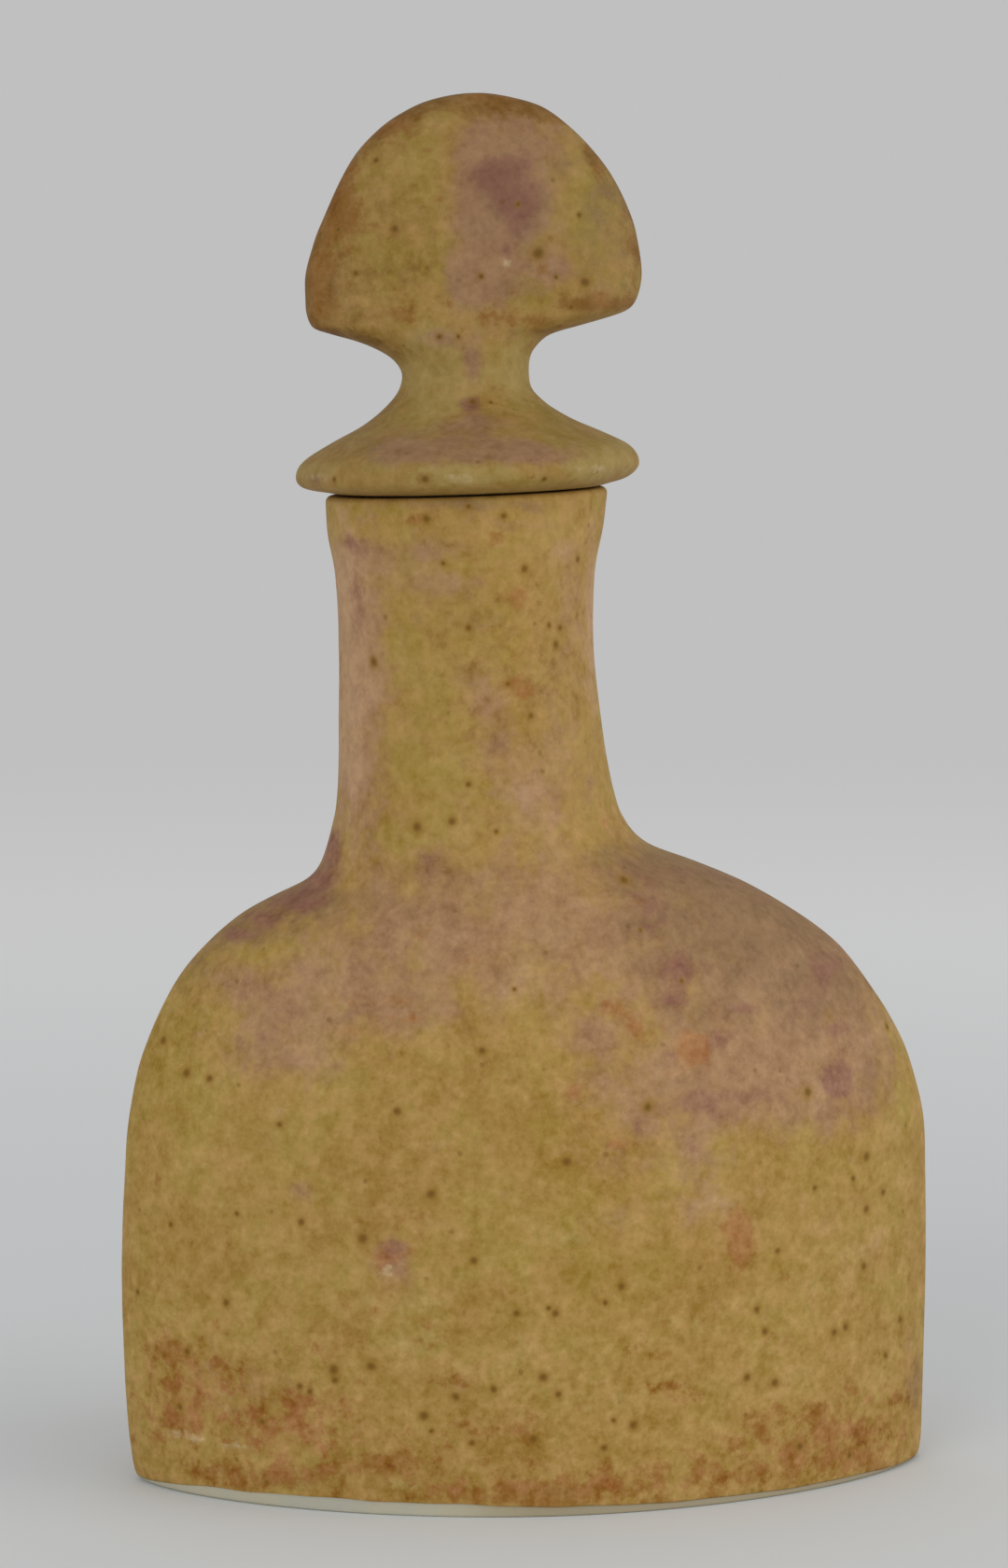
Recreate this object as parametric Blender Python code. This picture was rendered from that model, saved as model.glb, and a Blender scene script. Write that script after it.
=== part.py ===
"""Flat porcelain bottle with a thrown neck and a loose stopper with a mushroom-shaped knob.

Metres, +Z up. The origin is on the table, under the middle of the body. The broad front faces -Y.
The body is two curved slabs that stand on a base slab and meet along the side ridges. The neck is thrown
and leans a little to the left, and the flange of the stopper rests on its lip. The stopper lifts off along
the neck's axis, which is also the axis of its plug.
"""

import math

import bmesh
import bpy
from mathutils import Matrix, Vector

# Body
BODY_WIDTH = 0.117
BODY_DEPTH = 0.0576
BODY_HEIGHT = 0.096
BODY_WALL = 0.0038
RIDGE_WALL = 0.0056

# Base slab
BASE_THICKNESS = 0.0042
BASE_ROUNDING = 0.0009

# Neck
NECK_HEIGHT = 0.045
NECK_WALL = 0.0038
NECK_OFFSET = -0.0073
NECK_BOW = 0.0008
NECK_LEAN = math.radians(2.0)
FOOT_RADIUS = 0.0202
WAIST_RADIUS = 0.0181
LIP_RADIUS = 0.01995
LIP_ROUNDING = 0.0012

# Stopper
STOPPER_OFFSET = 0.0004
PLUG_LENGTH = 0.0220
PLUG_WALL = 0.0034
PLUG_CLEARANCE = 0.0008
PLUG_ROUNDING = 0.0010
FLANGE_RADIUS = 0.0244
FLANGE_EDGE_HEIGHT = 0.0035
FLANGE_SHOULDER_RADIUS = 0.0188
FLANGE_SHOULDER_HEIGHT = 0.0080
STEM_RADIUS = 0.0091
STEM_HEIGHT = 0.0162
KNOB_WIDTH = 0.0480
KNOB_DEPTH = 0.0162
KNOB_HEIGHT = 0.0396

# Members that are luted together, and the flange on the lip, are this far apart.
JOINT_GAP = 0.0003

# Finishes: colour and roughness.
BARE_PORCELAIN = ((0.56, 0.54, 0.47), 0.85)
BODY_GLAZE = ((0.33, 0.21, 0.06), 0.75)
NECK_GLAZE = ((0.32, 0.20, 0.07), 0.75)
FLANGE_GLAZE = ((0.28, 0.19, 0.05), 0.75)
KNOB_GLAZE = ((0.27, 0.17, 0.05), 0.75)

# Shares of the body's height, and how far each side has gone from the neck's foot to the widest place.
LEFT_SHARES = (
    (0.000, 0.943), (0.040, 0.969), (0.300, 1.000), (0.500, 0.972), (0.640, 0.903), (0.750, 0.741),
    (0.807, 0.595), (0.848, 0.446), (0.875, 0.285), (0.896, 0.142), (0.913, 0.088), (0.940, 0.050),
    (1.000, 0.000),
)
RIGHT_SHARES = (
    (0.000, 0.989), (0.360, 1.000), (0.500, 0.990), (0.618, 0.937), (0.675, 0.882), (0.790, 0.707),
    (0.833, 0.593), (0.887, 0.400), (0.921, 0.230), (0.939, 0.125), (0.956, 0.066), (0.973, 0.034),
    (1.000, 0.000),
)
DEPTH_SHARES = (
    (0.000, 0.942), (0.050, 0.965), (0.330, 1.000), (0.550, 0.930), (0.720, 0.700), (0.850, 0.360),
    (0.930, 0.130), (1.000, 0.000),
)
# From a pointed lens at the foot to a circle under the neck.
ROUNDNESS_SHARES = ((0.000, 0.000), (0.600, 0.000), (0.850, 0.300), (0.930, 0.800), (1.000, 1.000))
LENS_POWERS = (1.90, 1.33)
ROUND_POWERS = (2.00, 2.00)

# Shares of the neck's height, and how far its radius has gone from the waist to the foot or to the lip.
WAIST_SHARE = 0.600
FOOT_FLARE_SHARES = ((0.000, 1.000), (0.105, 0.620), (0.284, 0.270), (0.463, 0.040), (0.600, 0.000))
LIP_FLARE_SHARES = (
    (0.600, 0.000), (0.700, 0.100), (0.758, 0.200), (0.819, 0.450), (0.877, 0.760), (0.933, 0.900),
    (1.000, 1.000),
)

# Shares of the way from the plug's end to the neck's foot, and how far the bore has opened to the body there.
BORE_SHARES = ((0.000, 0.000), (0.400, 0.100), (0.750, 0.480), (1.000, 1.000))

# Shares of the knob's height, and of its half width and half depth, measured from the stopper's axis.
KNOB_LEFT_SHARES = (
    (0.000, 0.379), (0.060, 0.415), (0.088, 0.451), (0.114, 0.520), (0.164, 0.745), (0.189, 0.862),
    (0.215, 0.905), (0.290, 0.930), (0.442, 0.887), (0.644, 0.744), (0.795, 0.599), (0.896, 0.429),
    (0.947, 0.291), (0.985, 0.112), (1.000, -0.040),
)
KNOB_RIGHT_SHARES = (
    (0.000, 0.379), (0.088, 0.410), (0.114, 0.438), (0.139, 0.489), (0.164, 0.632), (0.189, 0.829),
    (0.215, 0.966), (0.250, 1.035), (0.316, 1.072), (0.492, 1.040), (0.694, 0.916), (0.846, 0.731),
    (0.947, 0.513), (0.985, 0.332), (1.000, 0.188),
)
KNOB_DEPTH_SHARES = (
    (0.000, 1.123), (0.120, 1.050), (0.300, 1.000), (0.550, 0.950), (0.750, 0.840), (0.880, 0.670),
    (0.950, 0.460), (0.985, 0.270), (1.000, 0.120),
)
FLATNESS_SHARES = ((0.000, 0.000), (0.100, 0.100), (0.240, 1.000), (1.000, 1.000))
PILLOW_POWERS = (3.00, 2.00)

# Handles of the flange's three bends, each as shares of the bend's run and rise.
UNDER_BEND_SHARES = ((0.60, 0.12), (1.00, 0.45))
EDGE_BEND_SHARES = ((0.00, 0.40), (0.51, 0.76))
FLARE_BEND_SHARES = ((0.34, 0.20), (1.00, 0.56))

# How finely the members are divided.
BODY_POINTS = 44
BODY_RINGS = 23
NECK_POINTS = 40
NECK_RINGS = 11
BORE_RINGS = 5
KNOB_POINTS = 36
KNOB_RINGS = 24
STOPPER_POINTS = 40
BEND_STEPS = 5
ROUNDING_STEPS = 3
OUTLINE_STEPS = 400
SHARP_ANGLE = math.radians(40.0)

# How far up and down the body its slope is measured.
SLOPE_SHARE = 0.0001

# The neck's two ends, its lean, and the direction in which the stopper lifts.
LEAN = Matrix.Rotation(-NECK_LEAN, 4, "Y")
NECK_FOOT = Vector((NECK_OFFSET, 0.0, BODY_HEIGHT))
LIP_CENTRE = NECK_FOOT + Vector((-math.tan(NECK_LEAN) * NECK_HEIGHT, 0.0, NECK_HEIGHT))


def blend(low, high, share):
    """A value part of the way from one to the other."""
    return low + (high - low) * share


def along(table, share):
    """Value at a share up a hand-drawn line: a smooth curve through its points that never overshoots them."""
    places = [place for place, _ in table]
    values = [value for _, value in table]
    slopes = [(values[i + 1] - values[i]) / (places[i + 1] - places[i]) for i in range(len(table) - 1)]
    tangents = [slopes[0]]
    for before, after in zip(slopes, slopes[1:]):
        tangents.append(2 * before * after / (before + after) if before * after > 0 else 0.0)
    tangents.append(slopes[-1])
    index = 0
    while index < len(slopes) - 1 and share > places[index + 1]:
        index += 1
    span = places[index + 1] - places[index]
    t = min(max((share - places[index]) / span, 0.0), 1.0)
    return (
        (2 * t**3 - 3 * t**2 + 1) * values[index]
        + (t**3 - 2 * t**2 + t) * span * tangents[index]
        + (3 * t**2 - 2 * t**3) * values[index + 1]
        + (t**3 - t**2) * span * tangents[index + 1]
    )


def lie(width, share):
    """How much thicker a wall measures level than square to its face, where the face leans back."""
    low = max(share - SLOPE_SHARE, 0.0)
    high = min(share + SLOPE_SHARE, 1.0)
    return math.hypot(1.0, (width(high) - width(low)) / ((high - low) * BODY_HEIGHT))


def form(start_powers, end_powers, share):
    """Powers of a section that is part of the way from one form to another."""
    return tuple(blend(start, end, share) for start, end in zip(start_powers, end_powers))


def section(left, right, depth, powers, angles):
    """Points of a level section between its left and right ends, as deep as its half depth each way."""
    points = []
    for angle in angles:
        across = math.cos(angle)
        back = math.sin(angle)
        x = (left + right) / 2 + (right - left) / 2 * math.copysign(abs(across) ** (2 / powers[0]), across)
        y = depth * math.copysign(abs(back) ** (2 / powers[1]), back)
        points.append((x, y))
    return points


def even_shares(left, right, height, start, count):
    """Shares of a height that lie equally far apart along the outline between two side lines."""
    shares = [blend(start, 1.0, step / OUTLINE_STEPS) for step in range(OUTLINE_STEPS + 1)]
    lengths = [0.0]
    for low, high in zip(shares, shares[1:]):
        rise = (high - low) * height
        left_run = left(high) - left(low)
        right_run = right(high) - right(low)
        lengths.append(lengths[-1] + math.hypot(rise, left_run) + math.hypot(rise, right_run))
    chosen = []
    for i in range(count + 1):
        wanted = lengths[-1] * i / count
        step = min(range(len(lengths)), key=lambda place: abs(lengths[place] - wanted))
        chosen.append(shares[step])
    return chosen


def turned(count):
    """Angles once round, from the right end by way of the back."""
    return [math.tau * i / count for i in range(count)]


def rounding(centre, radius, start, end):
    """Points of an arc, both its ends among them."""
    angles = [blend(start, end, step / ROUNDING_STEPS) for step in range(ROUNDING_STEPS + 1)]
    return [(centre[0] + radius * math.cos(a), centre[1] + radius * math.sin(a)) for a in angles]


def bend(start, end, handle_shares):
    """Points of a smooth bend from start to end, without its last point."""
    handles = [tuple(blend(start[axis], end[axis], share[axis]) for axis in (0, 1)) for share in handle_shares]
    corners = (start, *handles, end)
    points = []
    for step in range(BEND_STEPS):
        t = step / BEND_STEPS
        weights = ((1 - t) ** 3, 3 * t * (1 - t) ** 2, 3 * t**2 * (1 - t), t**3)
        points.append(tuple(sum(w * corner[axis] for w, corner in zip(weights, corners)) for axis in (0, 1)))
    return points


def loft(rings, closed=False):
    """A solid skinned over a row of rings, its ends capped, or its last ring joined to its first."""
    bm = bmesh.new()
    loops = [[bm.verts.new(point) for point in ring] for ring in rings]
    bands = list(zip(loops, loops[1:]))
    if closed:
        bands.append((loops[-1], loops[0]))
    else:
        bm.faces.new(loops[0])
        bm.faces.new(loops[-1])
    for low, high in bands:
        for i in range(len(low)):
            bm.faces.new((low[i - 1], low[i], high[i], high[i - 1]))
    bmesh.ops.recalc_face_normals(bm, faces=bm.faces)
    return bm


def turn(profile):
    """A solid turned about the Z axis from a profile that starts and ends on it, or closes on itself."""
    bm = bmesh.new()
    verts = [bm.verts.new((radius, 0.0, height)) for radius, height in profile]
    edges = [bm.edges.new(pair) for pair in zip(verts, verts[1:])]
    if profile[0][0] > 0.0:
        edges.append(bm.edges.new((verts[-1], verts[0])))
    bmesh.ops.spin(
        bm,
        geom=verts + edges,
        cent=(0.0, 0.0, 0.0),
        axis=(0.0, 0.0, 1.0),
        angle=math.tau,
        steps=STOPPER_POINTS,
        use_merge=True,
    )
    bmesh.ops.remove_doubles(bm, verts=bm.verts, dist=JOINT_GAP / STOPPER_POINTS)
    bmesh.ops.recalc_face_normals(bm, faces=bm.faces)
    return bm


def ceramic(name, finish):
    """A material for one piece."""
    colour, roughness = finish
    material = bpy.data.materials.new(name)
    material.use_nodes = True
    shader = material.node_tree.nodes["Principled BSDF"]
    shader.inputs["Base Color"].default_value = (*colour, 1.0)
    shader.inputs["Roughness"].default_value = roughness
    shader.inputs["Metallic"].default_value = 0.0
    return material


def place(name, bm, finish, parent=None):
    """Puts a finished solid in the scene as a named piece, smooth where it is round."""
    mesh = bpy.data.meshes.new(name)
    bm.to_mesh(mesh)
    bm.free()
    mesh.shade_smooth()
    mesh.set_sharp_from_angle(angle=SHARP_ANGLE)
    mesh.materials.append(ceramic(name + "_clay", finish))
    piece = bpy.data.objects.new(name, mesh)
    bpy.context.scene.collection.objects.link(piece)
    piece.parent = parent
    return piece


def body_left(share):
    return blend(NECK_OFFSET - FOOT_RADIUS, -BODY_WIDTH / 2, along(LEFT_SHARES, share))


def body_right(share):
    return blend(NECK_OFFSET + FOOT_RADIUS, BODY_WIDTH / 2, along(RIGHT_SHARES, share))


def body_depth(share):
    return blend(FOOT_RADIUS, BODY_DEPTH / 2, along(DEPTH_SHARES, share))


def body_outside(share, angles):
    """The body's outer section."""
    powers = form(LENS_POWERS, ROUND_POWERS, along(ROUNDNESS_SHARES, share))
    return section(body_left(share), body_right(share), body_depth(share), powers, angles)


def body_inside(share, angles):
    """The section of the hollow: the wall keeps its thickness where the shoulders lie back."""
    roundness = along(ROUNDNESS_SHARES, share)
    side_wall = blend(RIDGE_WALL, NECK_WALL, roundness)
    face_wall = blend(BODY_WALL, NECK_WALL, roundness)
    left = body_left(share) + side_wall * lie(body_left, share)
    right = body_right(share) - side_wall * lie(body_right, share)
    depth = body_depth(share) - face_wall * lie(body_depth, share)
    return section(left, right, depth, form(LENS_POWERS, ROUND_POWERS, roundness), angles)


def make_base_slab():
    """The lens-shaped slab under the walls, its lower edge rounded."""
    rings = []
    for inset, height in rounding((BASE_ROUNDING, BASE_ROUNDING), BASE_ROUNDING, -math.pi / 2, -math.pi):
        share = height / BODY_HEIGHT
        left = body_left(share) + inset
        right = body_right(share) - inset
        ring = section(left, right, body_depth(share) - inset, LENS_POWERS, turned(BODY_POINTS))
        rings.append([(x, y, height) for x, y in ring])
    top = body_outside(BASE_THICKNESS / BODY_HEIGHT, turned(BODY_POINTS))
    rings.append([(x, y, BASE_THICKNESS) for x, y in top])
    place("base_slab", loft(rings), BARE_PORCELAIN)


def make_wall(name, side):
    """One of the two curved slabs: side is -1 for the front and 1 for the back."""
    half = [math.pi * i / (BODY_POINTS // 2) for i in range(BODY_POINTS // 2 + 1)]
    start = (BASE_THICKNESS + JOINT_GAP) / BODY_HEIGHT
    rings = []
    for share in even_shares(body_left, body_right, BODY_HEIGHT, start, BODY_RINGS):
        ring = body_outside(share, half) + body_inside(share, half[::-1])
        rings.append([(x, side * max(y, JOINT_GAP / 2), share * BODY_HEIGHT) for x, y in ring])
    place(name, loft(rings), BODY_GLAZE)


def neck_radius(share):
    """Outer radius of the neck."""
    if share < WAIST_SHARE:
        return blend(WAIST_RADIUS, FOOT_RADIUS, along(FOOT_FLARE_SHARES, share))
    return blend(WAIST_RADIUS, LIP_RADIUS, along(LIP_FLARE_SHARES, share))


def bore_radius(depth):
    """Radius of the bore below the lip: it narrows as far as the plug goes down, and opens again to the body."""
    mouth = LIP_RADIUS - NECK_WALL
    throat = WAIST_RADIUS - NECK_WALL
    if depth < PLUG_LENGTH:
        return blend(mouth, throat, depth / PLUG_LENGTH)
    below = (depth - PLUG_LENGTH) / (NECK_HEIGHT - PLUG_LENGTH)
    return blend(throat, FOOT_RADIUS - NECK_WALL, along(BORE_SHARES, below))


def neck_ring(height, radius, bow):
    """A round section of the neck: level at the foot, square to the neck's axis at the lip."""
    share = height / NECK_HEIGHT
    tilt = Matrix.Rotation(-NECK_LEAN * share, 4, "Y")
    centre = NECK_FOOT.lerp(LIP_CENTRE, share) - Vector((bow * math.sin(math.pi * share), 0.0, 0.0))
    circle = [Vector((radius * math.cos(a), radius * math.sin(a), 0.0)) for a in turned(NECK_POINTS)]
    return [centre + tilt @ point for point in circle]


def make_neck():
    """The thrown neck, a tube from the body's top to the rounded lip."""
    straight = NECK_HEIGHT - LIP_ROUNDING
    rings = []
    for i in range(NECK_RINGS):
        height = blend(JOINT_GAP, straight, i / NECK_RINGS)
        rings.append(neck_ring(height, neck_radius(height / NECK_HEIGHT), NECK_BOW))
    outer = rounding((LIP_RADIUS - LIP_ROUNDING, straight), LIP_ROUNDING, 0.0, math.pi / 2)
    mouth = LIP_RADIUS - NECK_WALL
    inner = rounding((mouth + LIP_ROUNDING, straight), LIP_ROUNDING, math.pi / 2, math.pi)
    for radius, height in outer + inner:
        rings.append(neck_ring(height, radius, 0.0))
    for i in range(1, BORE_RINGS + 1):
        depth = blend(LIP_ROUNDING, PLUG_LENGTH, i / BORE_RINGS)
        rings.append(neck_ring(NECK_HEIGHT - depth, bore_radius(depth), 0.0))
    for i in range(1, BORE_RINGS + 1):
        depth = blend(PLUG_LENGTH, NECK_HEIGHT - JOINT_GAP, i / BORE_RINGS)
        rings.append(neck_ring(NECK_HEIGHT - depth, bore_radius(depth), 0.0))
    place("neck", loft(rings, closed=True), NECK_GLAZE)


def make_plug(stopper):
    """The hollow plug, open below, which follows the bore with the same clearance all the way down."""
    top = bore_radius(0.0) - PLUG_CLEARANCE
    bottom = bore_radius(PLUG_LENGTH) - PLUG_CLEARANCE
    end = PLUG_ROUNDING - PLUG_LENGTH
    profile = [(top, 0.0)]
    profile += rounding((bottom - PLUG_ROUNDING, end), PLUG_ROUNDING, 0.0, -math.pi / 2)
    profile += rounding((bottom - PLUG_WALL + PLUG_ROUNDING, end), PLUG_ROUNDING, -math.pi / 2, -math.pi)
    profile.append((top - PLUG_WALL, 0.0))
    place("stopper_plug", turn(profile), BARE_PORCELAIN, stopper)


def make_flange(stopper):
    """The disc on the lip, which sweeps up into the stem."""
    seat = (LIP_RADIUS - LIP_ROUNDING, JOINT_GAP)
    edge = (FLANGE_RADIUS, FLANGE_EDGE_HEIGHT)
    shoulder = (FLANGE_SHOULDER_RADIUS, FLANGE_SHOULDER_HEIGHT)
    stem = (STEM_RADIUS, STEM_HEIGHT)
    profile = [(0.0, JOINT_GAP), (LIP_RADIUS - NECK_WALL - PLUG_CLEARANCE - PLUG_WALL, JOINT_GAP)]
    profile += bend(seat, edge, UNDER_BEND_SHARES)
    profile += bend(edge, shoulder, EDGE_BEND_SHARES)
    profile += bend(shoulder, stem, FLARE_BEND_SHARES)
    profile += [stem, (0.0, STEM_HEIGHT)]
    place("stopper_flange", turn(profile), FLANGE_GLAZE, stopper)


def knob_left(share):
    return -KNOB_WIDTH / 2 * along(KNOB_LEFT_SHARES, share)


def knob_right(share):
    return KNOB_WIDTH / 2 * along(KNOB_RIGHT_SHARES, share)


def make_knob(stopper):
    """The flat mushroom-shaped grip: round where it leaves the stem, a pillow above."""
    rings = []
    for share in even_shares(knob_left, knob_right, KNOB_HEIGHT, 0.0, KNOB_RINGS):
        depth = KNOB_DEPTH / 2 * along(KNOB_DEPTH_SHARES, share)
        powers = form(ROUND_POWERS, PILLOW_POWERS, along(FLATNESS_SHARES, share))
        height = STEM_HEIGHT + JOINT_GAP + KNOB_HEIGHT * share
        ring = section(knob_left(share), knob_right(share), depth, powers, turned(KNOB_POINTS))
        rings.append([(x, y, height) for x, y in ring])
    place("stopper_knob", loft(rings), KNOB_GLAZE, stopper)


def main():
    for old in list(bpy.data.objects):
        bpy.data.objects.remove(old)
    make_base_slab()
    make_wall("front_wall", -1)
    make_wall("back_wall", 1)
    make_neck()
    stopper = bpy.data.objects.new("stopper_axis", None)
    stopper.matrix_world = Matrix.Translation(LIP_CENTRE) @ LEAN @ Matrix.Translation((STOPPER_OFFSET, 0.0, 0.0))
    bpy.context.scene.collection.objects.link(stopper)
    make_plug(stopper)
    make_flange(stopper)
    make_knob(stopper)


main()
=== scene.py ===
"""Looks of the flat porcelain bottle: one matt glaze over body and neck, and the loose stopper.

Metres, in the part's own frame: +Z up, the broad front towards -Y, the origin on the table.
Stains, painted shade, painted light and iron specks are placed by where they show in the photograph, in
pixels of its 1080 by 1680 frame.
"""

import math
import random

import bmesh
import bpy
import numpy as np
from mathutils import Matrix, Vector


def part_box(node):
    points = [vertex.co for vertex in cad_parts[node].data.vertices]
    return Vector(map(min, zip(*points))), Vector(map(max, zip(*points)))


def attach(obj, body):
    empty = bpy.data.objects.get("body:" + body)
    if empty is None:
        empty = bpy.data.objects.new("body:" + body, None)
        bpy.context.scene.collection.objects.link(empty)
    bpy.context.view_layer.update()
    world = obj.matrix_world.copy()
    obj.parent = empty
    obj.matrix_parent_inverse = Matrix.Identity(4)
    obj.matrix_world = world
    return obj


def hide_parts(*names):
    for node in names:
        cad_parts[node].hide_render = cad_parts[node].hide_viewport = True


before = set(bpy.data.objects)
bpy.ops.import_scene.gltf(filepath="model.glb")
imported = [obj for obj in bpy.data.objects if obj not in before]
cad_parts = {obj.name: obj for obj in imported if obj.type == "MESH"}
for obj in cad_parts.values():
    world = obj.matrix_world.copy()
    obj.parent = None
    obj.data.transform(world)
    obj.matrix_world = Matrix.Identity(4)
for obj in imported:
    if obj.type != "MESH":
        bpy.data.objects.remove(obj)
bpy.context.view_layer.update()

# The photograph's frame in pixels, and the camera fitted to it.
PHOTO_WIDTH = 1080
PHOTO_HEIGHT = 1680
CAMERA_PLACE = Vector((-0.08515, -0.65440, 0.16796))
CAMERA_TURN = math.radians(7.113)
CAMERA_DIP = math.radians(5.923)
CAMERA_LENS = 106.74
CAMERA_SENSOR = 36.0

# Body and neck: overall sizes from the part's own pieces, then walls, and the neck's lean, radii and lip.
wall_low, wall_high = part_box("front_wall")
BODY_WIDTH = wall_high.x - wall_low.x
BODY_DEPTH = 2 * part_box("back_wall")[1].y
BODY_HEIGHT = wall_high.z
SLAB_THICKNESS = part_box("base_slab")[1].z
BODY_WALL = 0.0038
RIDGE_WALL = 0.0056
NECK_HEIGHT = 0.045
NECK_WALL = 0.0038
NECK_LEAN = math.radians(2.0)
NECK_BOW = 0.0008
FOOT_RADIUS = 0.0202
WAIST_RADIUS = 0.0181
LIP_RADIUS = 0.01995
LIP_ROUNDING = 0.0009
LIP_RISE = 0.00035
NECK_FOOT = Vector((-0.0073, 0.0, BODY_HEIGHT))
LIP_CENTRE = NECK_FOOT + Vector((-math.tan(NECK_LEAN) * NECK_HEIGHT, 0.0, NECK_HEIGHT))

# How high over the foot the glaze stops, and how that line ripples: swing, rate and start of each wave.
GLAZE_LINE = 0.0020
GLAZE_LINE_RIPPLES = ((0.06, 37.0, 0.0), (0.05, 83.0, 1.0))

# How thick the glaze lies over the foot, the gaps that keep the slab clear of it and of the wall's floor, and
# how far the foot's lower edge is worn round.
GLAZE_THICKNESS = 0.0003
SKIRT_GAP = 0.00005
SLAB_GAP = 0.0003
FOOT_ROUNDING = 0.0003

# The stopper: how it sits on the lip, and its shank.
STOPPER_OFFSET = 0.0004
SEAT_GAP = LIP_RISE + 0.0002
SEAT_RADIUS = 0.01875
SHANK_LENGTH = 0.0220
SHANK_WALL = 0.0034
SHANK_CLEARANCE = 0.0008
SHANK_ROUNDING = 0.0010
THROWING_PITCH = 0.0031
THROWING_DEPTH = 0.00018

# Shares of the body's height, and how far each side has gone from the neck's foot to the widest place.
LEFT_SHARES = (
    (0.000, 0.918), (0.004, 0.934), (0.010, 0.944), (0.020, 0.952), (0.040, 0.960), (0.090, 0.977),
    (0.300, 0.998), (0.500, 0.976), (0.610, 0.926), (0.680, 0.850), (0.750, 0.743), (0.807, 0.598),
    (0.848, 0.446), (0.875, 0.285), (0.896, 0.142), (0.913, 0.088), (0.940, 0.050), (1.000, 0.000),
)
RIGHT_SHARES = (
    (0.000, 0.970), (0.004, 0.980), (0.010, 0.985), (0.024, 0.988), (0.050, 0.990), (0.360, 1.000),
    (0.500, 0.993), (0.618, 0.937), (0.675, 0.879), (0.730, 0.804), (0.790, 0.705), (0.833, 0.590),
    (0.887, 0.396), (0.921, 0.224), (0.939, 0.119), (0.956, 0.063), (0.973, 0.032), (1.000, 0.000),
)

# The same for its depth, and how far its sections have turned from lenses into circles there.
DEPTH_SHARES = (
    (0.000, 0.942), (0.050, 0.965), (0.330, 1.000), (0.550, 0.930), (0.720, 0.700), (0.850, 0.360),
    (0.930, 0.130), (1.000, 0.000),
)
ROUNDNESS_SHARES = ((0.000, 0.000), (0.600, 0.000), (0.850, 0.300), (0.930, 0.800), (1.000, 1.000))

# How full a section is across and front to back: a lens and a circle.
LENS_POWERS = (1.90, 1.45)
ROUND_POWERS = (2.00, 2.00)

# Shares of the way across from the left ridge to the right one, and of the glaze line's height there.
GLAZE_LINE_SHARES = (
    (0.000, 0.300), (0.040, 0.600), (0.080, 0.860), (0.130, 0.980), (0.280, 1.030), (0.420, 0.860),
    (0.550, 0.630), (0.800, 0.460), (0.900, 0.420), (0.960, 0.280), (1.000, 0.180),
)

# Shares of the neck's height, and its radius there from the waist to the foot or to the lip.
WAIST_SHARE = 0.600
FOOT_FLARE_SHARES = ((0.000, 1.000), (0.105, 0.620), (0.284, 0.270), (0.463, 0.040), (0.600, 0.000))
LIP_FLARE_SHARES = (
    (0.600, 0.000), (0.700, 0.100), (0.758, 0.200), (0.819, 0.450), (0.877, 0.760), (0.933, 0.900),
    (1.000, 1.000),
)

# Shares of the way from the shank's end to the neck's foot, and how far the bore has opened there.
BORE_SHARES = ((0.000, 0.000), (0.400, 0.100), (0.750, 0.480), (1.000, 1.000))

# The stopper's grip: height over the lip, and how far it reaches left and right of its axis.
GRIP_OUTLINE = (
    (0.00055, 0.0188, 0.0188), (0.0009, 0.0202, 0.0200), (0.0014, 0.0230, 0.0221), (0.0021, 0.0243, 0.0234),
    (0.0035, 0.0245, 0.0244), (0.0050, 0.0236, 0.0239), (0.0060, 0.0223, 0.0231), (0.0080, 0.0187, 0.0194),
    (0.0100, 0.0147, 0.0149), (0.0125, 0.0114, 0.0111), (0.0150, 0.0093, 0.0091), (0.0170, 0.0088, 0.0090),
    (0.0190, 0.0099, 0.0093), (0.0210, 0.0129, 0.0108), (0.0220, 0.0153, 0.0123), (0.0230, 0.0185, 0.0163),
    (0.0240, 0.0212, 0.0204), (0.0250, 0.0218, 0.0238), (0.0265, 0.0222, 0.0249), (0.0300, 0.0222, 0.0257),
    (0.0360, 0.0206, 0.0250), (0.0400, 0.0188, 0.0237), (0.0440, 0.0168, 0.0218), (0.0480, 0.0143, 0.0189),
    (0.0520, 0.0101, 0.0149), (0.0540, 0.0067, 0.0120), (0.0550, 0.0043, 0.0091), (0.0557, 0.0014, 0.0063),
    (0.0560, -0.0012, 0.0042),
)

# The knob: from where to where up the grip, its half depth in the middle, and how its sections change.
KNOB_FOOT = 0.0165
KNOB_TOP = 0.0560
KNOB_HALF_DEPTH = 0.0081
KNOB_DEPTH_SHARES = (
    (0.000, 1.123), (0.120, 1.050), (0.300, 1.000), (0.550, 0.950), (0.750, 0.840), (0.880, 0.670),
    (0.950, 0.460), (0.985, 0.270), (1.000, 0.120),
)
FLATNESS_SHARES = ((0.000, 0.000), (0.100, 0.100), (0.240, 1.000), (1.000, 1.000))
PILLOW_POWERS = (3.00, 2.00)

# Rings up the foot's side and across the seat, and how far the last rings of foot and crown are drawn in.
FOOT_HEIGHT_SHARES = (0.40, 0.70, 0.95, 1.00)
SEAT_RADIUS_SHARES = (0.25, 0.60, 0.88, 0.93)
FOOT_MIDDLE_SHARE = 0.5
CROWN_MIDDLE_SHARE = 0.6

# How finely the pieces are divided, before each is subdivided once.
BODY_POINTS = 128
BODY_RINGS = 62
NECK_RINGS = 30
INNER_RINGS = 12
GRIP_POINTS = 96
GRIP_RINGS = 80
SHANK_POINTS = 64
SHANK_RINGS = 40
ROUNDING_STEPS = 5

# How finely an outline and its slope are measured, and how near points are merged.
OUTLINE_STEPS = 600
SLOPE_STEP = 0.0001
MERGE_REACH = 0.000001

# Unevenness of a hand-worked wall: size of its waves, and how far they swing.
UNEVENNESS = ((0.024, 0.00030), (0.007, 0.00008))

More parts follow.
